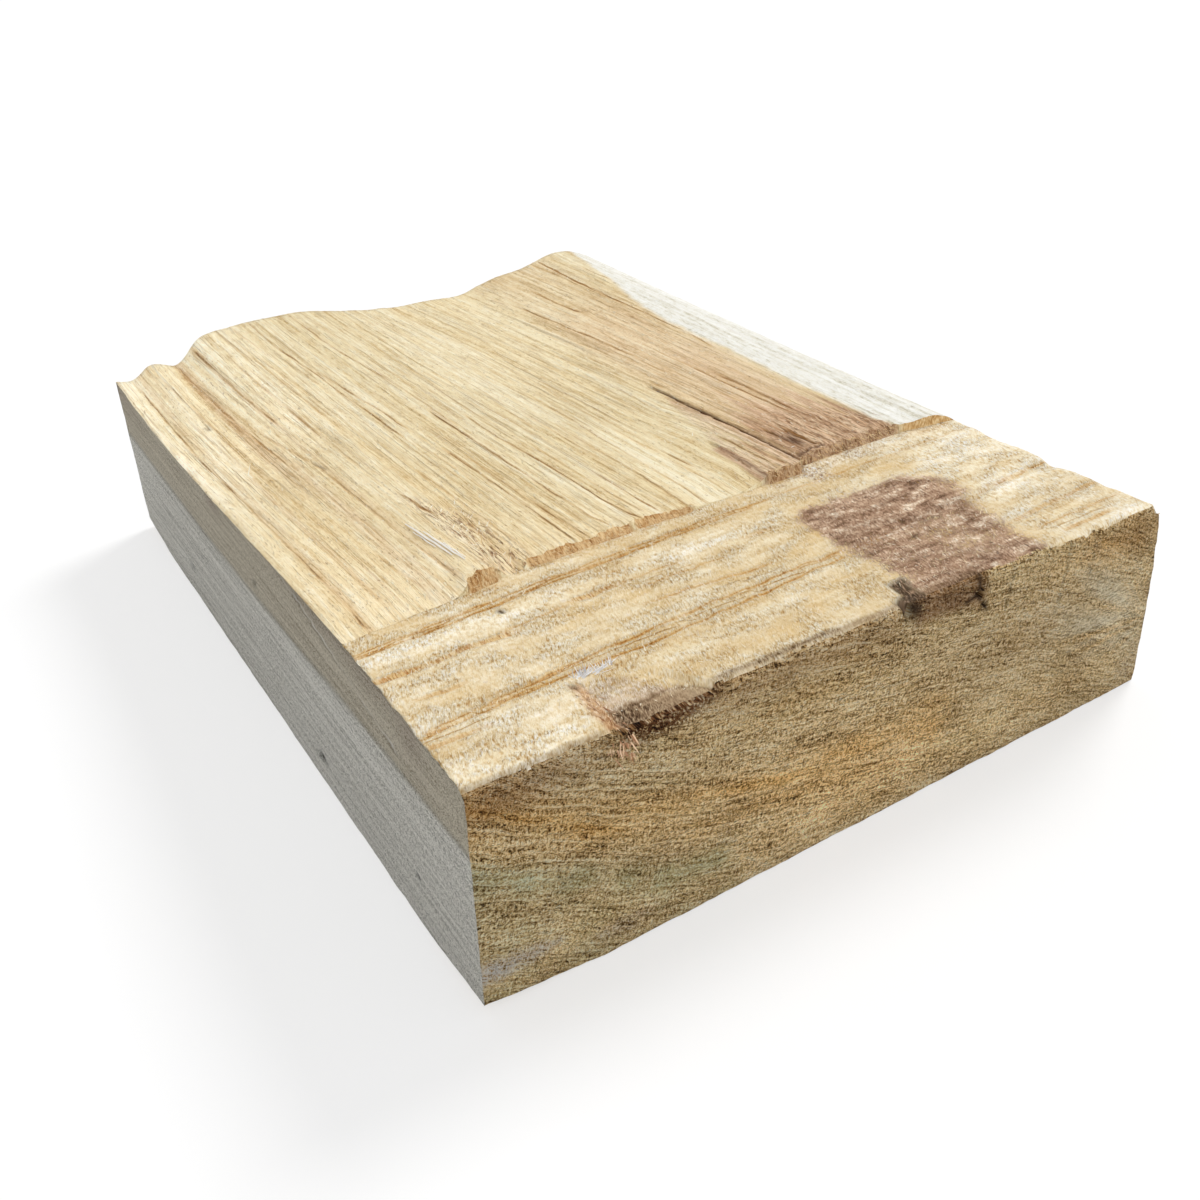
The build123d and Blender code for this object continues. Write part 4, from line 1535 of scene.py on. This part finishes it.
def blade(start, run, up, length, width, tint, lift=0.2, bend=0.0):
    """One fibre from just under the surface, lying along run and lifting off it."""
    run, up = Vector(run).normalized(), Vector(up)
    run = (run - up * run.dot(up)).normalized()
    across = run.cross(up).normalized()
    start = Vector(start) - up * 0.12
    middle = start + run * (length * 0.55) + up * (length * lift * 0.5) + across * (length * bend)
    tip = start + run * length + up * (length * lift) + across * (length * bend * 2.2)
    side, n = across * (width / 2), len(blade_points)
    blade_points.extend([start - side, start + side, middle + side * 0.8, middle - side * 0.8, tip])
    blade_faces.extend([(n, n + 1, n + 2, n + 3), (n + 3, n + 2, n + 4)])
    blade_tints.extend([tint] * 5)


def on_top(x, y):
    hit, normal, *_ = skin.ray_cast(Vector((x, y, ABOVE)), Vector((0, 0, -1)))
    return hit, normal


def on_end(x, z):
    hit, normal, *_ = skin.ray_cast(Vector((x, AHEAD, z)), Vector((0, 1, 0)))
    return hit, normal


def heading(degrees):
    angle = np.radians(degrees)
    return (np.cos(angle), np.sin(angle))


def mixed(a, b):
    """A colour somewhere between two, the same share on all channels."""
    t = rng.random()
    return tuple(p + t * (q - p) for p, q in zip(a, b))


PALE, STRAW, RUST = (0.93, 0.88, 0.74), (0.80, 0.65, 0.40), (0.60, 0.36, 0.16)


def band_fibres(count):
    for _ in range(count):
        x, y = rng.uniform(-126.3, 112), rng.uniform(-150.5, -77)
        if y > ledge_y(x) - 2 or x > reach(y) - 1.5 or (x < 66 and y < -146.5):
            continue
        hit, up = on_top(x, y)
        if hit is None:
            continue
        worn = inside(np.array(x), np.array(y), WORN_PATCH, 1.0) > 0.5
        if worn and rng.random() < 0.7:
            continue
        cos, sin = heading(rng.normal(72, 24) + 180 * (rng.random() < 0.7))
        tint = mixed((0.45, 0.29, 0.19), (0.84, 0.72, 0.56)) if worn else mixed(PALE, STRAW)
        blade(
            hit, (cos, sin, 0), up, rng.uniform(0.6, 1.4) + rng.exponential(0.5), rng.uniform(0.14, 0.28),
            tint, rng.uniform(0.05, 0.4), rng.normal(0, 0.1),
        )


def end_fibres(count):
    x, z = rng.uniform(-126.3, 120, count), rng.uniform(1.0, 73, count)
    dark = blobs(x, z, (0.75, -118, 70, 28, 8), (1, -72, 72, 14, 6), (1, 25, 72, 15, 7))
    shade = (
        1.0 - 0.6 * np.clip(dark, 0, 1)
        - 0.15 * np.clip(blobs(x, z, (1, -66, 20, 24, 8), (1, -116, 42, 17, 8)), 0, 1)
    )
    crest = np.cos(2 * np.pi * ring_place(x, z) / ROW) + rng.normal(0, 0.9, count)
    for n in np.flatnonzero((crest > 0.15) & (z > 4.5 - (x + 127) * 0.12)):
        hit, up = on_end(x[n], z[n])
        if hit is None or hit.y > FRONT + 3:
            continue
        cos, sin = heading(rng.normal(-55, 50))
        tint = tuple(v * shade[n] for v in mixed((0.34, 0.21, 0.08), (0.90, 0.72, 0.40)))
        blade(
            hit, (cos, -0.1, sin), up, rng.uniform(0.3, 0.8) + rng.exponential(0.15),
            rng.uniform(0.22, 0.45), tint, rng.uniform(0.1, 0.5), rng.normal(0, 0.12),
        )


def bundle(count, x_range, y_range, turn, spread, length, width, tints, lift):
    """Fibres on the top, all lying about one way."""
    for _ in range(count):
        hit, up = on_top(rng.uniform(*x_range), rng.uniform(*y_range))
        if hit is not None:
            cos, sin = heading(rng.normal(turn, spread))
            blade(
                hit, (cos, sin, 0), up, rng.uniform(*length), rng.uniform(*width), mixed(*tints),
                rng.uniform(*lift), rng.normal(0, 0.06),
            )


def ledge_fibres():
    for start, stop, _ in TORN_ENDS:
        for _ in range(int((stop - start) * 11)):
            x = rng.uniform(start, stop)
            hit, up = on_top(x, ledge_y(np.array(x)) + rng.uniform(-1.2, 1.8))
            if hit is not None:
                cos, sin = heading(rng.normal(-70, 30))
                blade(
                    hit, (cos, sin, -0.3), up, rng.uniform(0.6, 2.0), rng.uniform(0.15, 0.35),
                    mixed(STRAW, RUST), rng.uniform(0.05, 0.5), rng.normal(0, 0.1),
                )


def long_sliver(route, width, tint):
    """A thin flat sliver that follows a route on the top."""
    rows = []
    for (x, y), half in zip(route, width):
        hit, up = on_top(x, y)
        rows.append((hit + up * 0.25, half))
    for (p, a), (q, b) in zip(rows, rows[1:]):
        across, n = (q - p).cross(Vector((0, 0, 1))).normalized(), len(blade_points)
        blade_points.extend([p - across * a, p + across * a, q + across * b, q - across * b])
        blade_faces.append((n, n + 1, n + 2, n + 3))
        blade_tints.extend([tint] * 4)


band_fibres(count=5200)
end_fibres(count=9000)
ledge_fibres()
WHITE = ((0.88, 0.87, 0.84), (0.80, 0.79, 0.78))
# Bundles on the top: count, across, along, turn, spread, length, width, two colours and lift
BUNDLES = [
    (
        80, (-79, -67), (-78, -34), 55, 20, (1.2, 4.2), (0.2, 0.45), ((0.95, 0.91, 0.80), STRAW),
        (0.0, 0.25),
    ),
    (30, (-79, -68), (-76, -40), 62, 16, (1.5, 3.5), (0.2, 0.4), (RUST, STRAW), (0.0, 0.15)),
    (
        40, (-84.5, -73), (-130, -128.6), 72, 20, (1.4, 4.2), (0.18, 0.34),
        ((0.92, 0.92, 0.93), (0.42, 0.42, 0.45)), (0.05, 0.35),
    ),
    (
        40, (-85, -76), (-130.5, -128.5), 6, 6, (2.5, 5.0), (0.16, 0.32),
        ((0.90, 0.90, 0.91), (0.60, 0.60, 0.62)), (0.05, 0.25),
    ),
    (
        70, (-88.5, -82.5), (-151, -132), -72, 14, (2, 5), (0.18, 0.5),
        ((0.86, 0.66, 0.46), (0.30, 0.13, 0.06)), (0.0, 0.16),
    ),
    (34, (33, 41), (-82, -76.5), 20, 80, (0.4, 1.2), (0.2, 0.45), WHITE, (0.0, 0.4)),
    (8, (21, 26), (-80, -77), 20, 80, (0.4, 1.0), (0.2, 0.4), WHITE, (0.0, 0.4)),
    (45, (57, 82), (-77, -73), 20, 80, (0.4, 1.2), (0.25, 0.5), WHITE, (0.0, 0.4)),
    (
        90, (40, 84), (-70, -50), -84, 14, (2, 6), (0.15, 0.4), ((0.30, 0.17, 0.10), (0.62, 0.43, 0.30)),
        (0.0, 0.25),
    ),
    (60, (-60, 20), (-70, 60), 75, 40, (0.6, 1.8), (0.2, 0.4), (PALE, STRAW), (0.0, 0.4)),
]
for row in BUNDLES:
    bundle(*row)
for _ in range(60):
    hit, up = on_end(rng.uniform(-89, -82), rng.uniform(66, 72))
    if hit is not None:
        blade(
            hit, (rng.normal(0.15, 0.2), 0, -1), up, rng.uniform(2, 5), rng.uniform(0.2, 0.45),
            mixed((0.84, 0.60, 0.40), (0.38, 0.18, 0.09)), rng.uniform(0.0, 0.25),
        )
for shift, start, stop, half in (
    (0.0, -39, -66, 0.42), (0.9, -48, -71, 0.38), (-0.7, -45, -58, 0.25), (1.5, -58, -70, 0.22),
):
    ys = np.linspace(start, stop, 9)
    xs = -87.6 + shift - 0.088 * (ys + 39) + rng.normal(0, 0.10, 9)
    long_sliver(
        list(zip(xs, ys)), half * (0.35 + 0.65 * np.sin(np.linspace(0.2, 2.9, 9))),
        mixed((0.90, 0.89, 0.87), (0.78, 0.75, 0.70)),
    )
for x, y, turn, length, tint in (
    (-89.4, 69, 66, 7.0, (0.52, 0.46, 0.24)), (-113, 33, 70, 12, PALE), (-111, 31, 100, 7, PALE),
    (46.5, 36, 46, 13, PALE), (40.5, -63, 3, 3.5, WHITE[0]), (-75.4, -44, 55, 9, STRAW),
    (-74, -48, 40, 6, PALE), (19, -39, 55, 4.5, PALE), (55, 83, 4, 11, STRAW),
):
    hit, up = on_top(x, y)
    cos, sin = heading(turn)
    blade(hit, (cos, sin, 0), up, length, 0.5, tint, 0.06, 0.03)
hit, up = on_end(-119, 57)
blade(hit, (0.6, 0, 0.8), up, 7.5, 0.55, (0.88, 0.78, 0.55), 0.12)

fibre_mesh = bpy.data.meshes.new("fibres")
fibre_mesh.from_pydata([p * MM for p in blade_points], [], blade_faces)
tint_layer = fibre_mesh.attributes.new("tint", "FLOAT_VECTOR", "POINT")
tint_layer.data.foreach_set("vector", np.array(blade_tints, np.float32).ravel())
fibre_mesh.materials.append(fibre_material())
fibres = bpy.data.objects.new("fibres", fibre_mesh)
bpy.context.scene.collection.objects.link(fibres)
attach(fibres, "root")

# Floor, light and camera

# The floor in metres, what of it shows as plain white, and the sky's light on the wood and to the camera
FLOOR_HALF, FLOOR_DROP = 8, 0.0004
GLOW = 0.55
SKY_LIGHT, SKY_SEEN = 0.60, 1.0
# The photograph's width and focal length in pixels, and the camera's place and axes fitted to it
PHOTO_WIDTH, FOCAL_LENGTH = 1200, 1202
SENSOR = 36.0
CAMERA_PLACE = (-0.20674, -0.33597, 0.25334)
CAMERA_ACROSS = (0.84034, -0.54186, -0.01441)
CAMERA_DOWN = (-0.3053, -0.45117, -0.83859)
CAMERA_AHEAD = (0.4479, 0.7091, -0.54457)

floor_mesh = bpy.data.meshes.new("floor")
corners = [
    (-FLOOR_HALF, -FLOOR_HALF, 0), (FLOOR_HALF, -FLOOR_HALF, 0), (FLOOR_HALF, FLOOR_HALF, 0),
    (-FLOOR_HALF, FLOOR_HALF, 0),
]
floor_mesh.from_pydata(corners, [], [(0, 1, 2, 3)])
floor = bpy.data.objects.new("floor", floor_mesh)
bpy.context.scene.collection.objects.link(floor)
floor.location.z = -FLOOR_DROP
paper = bpy.data.materials.new("floor")
paper.use_nodes = True
paper_look = paper.node_tree.nodes["Principled BSDF"].inputs
paper_look["Base Color"].default_value = (0.95, 0.95, 0.95, 1)
paper_look["Roughness"].default_value = 0.9
paper_look["Specular IOR Level"].default_value = 0.0
floor_mesh.materials.append(paper)

world = bpy.data.worlds.new("studio")
bpy.context.scene.world = world
world.use_nodes = True


def seen(tree):
    """1 for the camera and for what shines or is seen through, 0 for light on the object."""
    path = tree.nodes.new("ShaderNodeLightPath")
    out = path.outputs["Is Camera Ray"]
    for name in ("Is Glossy Ray", "Is Transmission Ray"):
        either = tree.nodes.new("ShaderNodeMath")
        either.operation = "MAXIMUM"
        tree.links.new(out, either.inputs[0])
        tree.links.new(path.outputs[name], either.inputs[1])
        out = either.outputs[0]
    return out


def scaled(tree, factor, low, high):
    part = tree.nodes.new("ShaderNodeMapRange")
    tree.links.new(factor, part.inputs[0])
    part.inputs[3].default_value, part.inputs[4].default_value = low, high
    return part.outputs[0]


sky = world.node_tree
sky.nodes["Background"].inputs["Color"].default_value = (1, 1, 1, 1)
sky.links.new(scaled(sky, seen(sky), SKY_LIGHT, SKY_SEEN), sky.nodes["Background"].inputs["Strength"])

# The floor is plain white paper, whose shadow the camera sees lightened
sheet_tree = paper.node_tree
glow = sheet_tree.nodes.new("ShaderNodeEmission")
both = sheet_tree.nodes.new("ShaderNodeMixShader")
sheet_tree.links.new(scaled(sheet_tree, seen(sheet_tree), 0.0, GLOW), both.inputs[0])
sheet_tree.links.new(sheet_tree.nodes["Principled BSDF"].outputs[0], both.inputs[1])
sheet_tree.links.new(glow.outputs[0], both.inputs[2])
sheet_tree.links.new(both.outputs[0], sheet_tree.nodes["Material Output"].inputs[0])


def lamp(name, toward, strength, angle):
    data = bpy.data.lights.new(name, "SUN")
    data.energy = strength
    data.angle = np.radians(angle)
    sun = bpy.data.objects.new(name, data)
    sun.rotation_euler = (-Vector(toward)).to_track_quat("-Z", "Y").to_euler()
    bpy.context.scene.collection.objects.link(sun)


lamp("key", toward=(0.75, 0.30, 0.9), strength=1.62, angle=20)
lamp("fill", toward=(-0.60, -0.85, 0.65), strength=0.95, angle=70)

camera_data = bpy.data.cameras.new("camera")
camera_data.sensor_width = SENSOR
camera_data.lens = SENSOR * FOCAL_LENGTH / PHOTO_WIDTH
camera_data.clip_start = 0.01
camera = bpy.data.objects.new("camera", camera_data)
bpy.context.scene.collection.objects.link(camera)
turn = Matrix((CAMERA_ACROSS, [-v for v in CAMERA_DOWN], [-v for v in CAMERA_AHEAD])).transposed()
camera.matrix_world = Matrix.Translation(CAMERA_PLACE) @ turn.to_4x4()
bpy.context.scene.camera = camera
bpy.context.scene.view_settings.view_transform = "Standard"
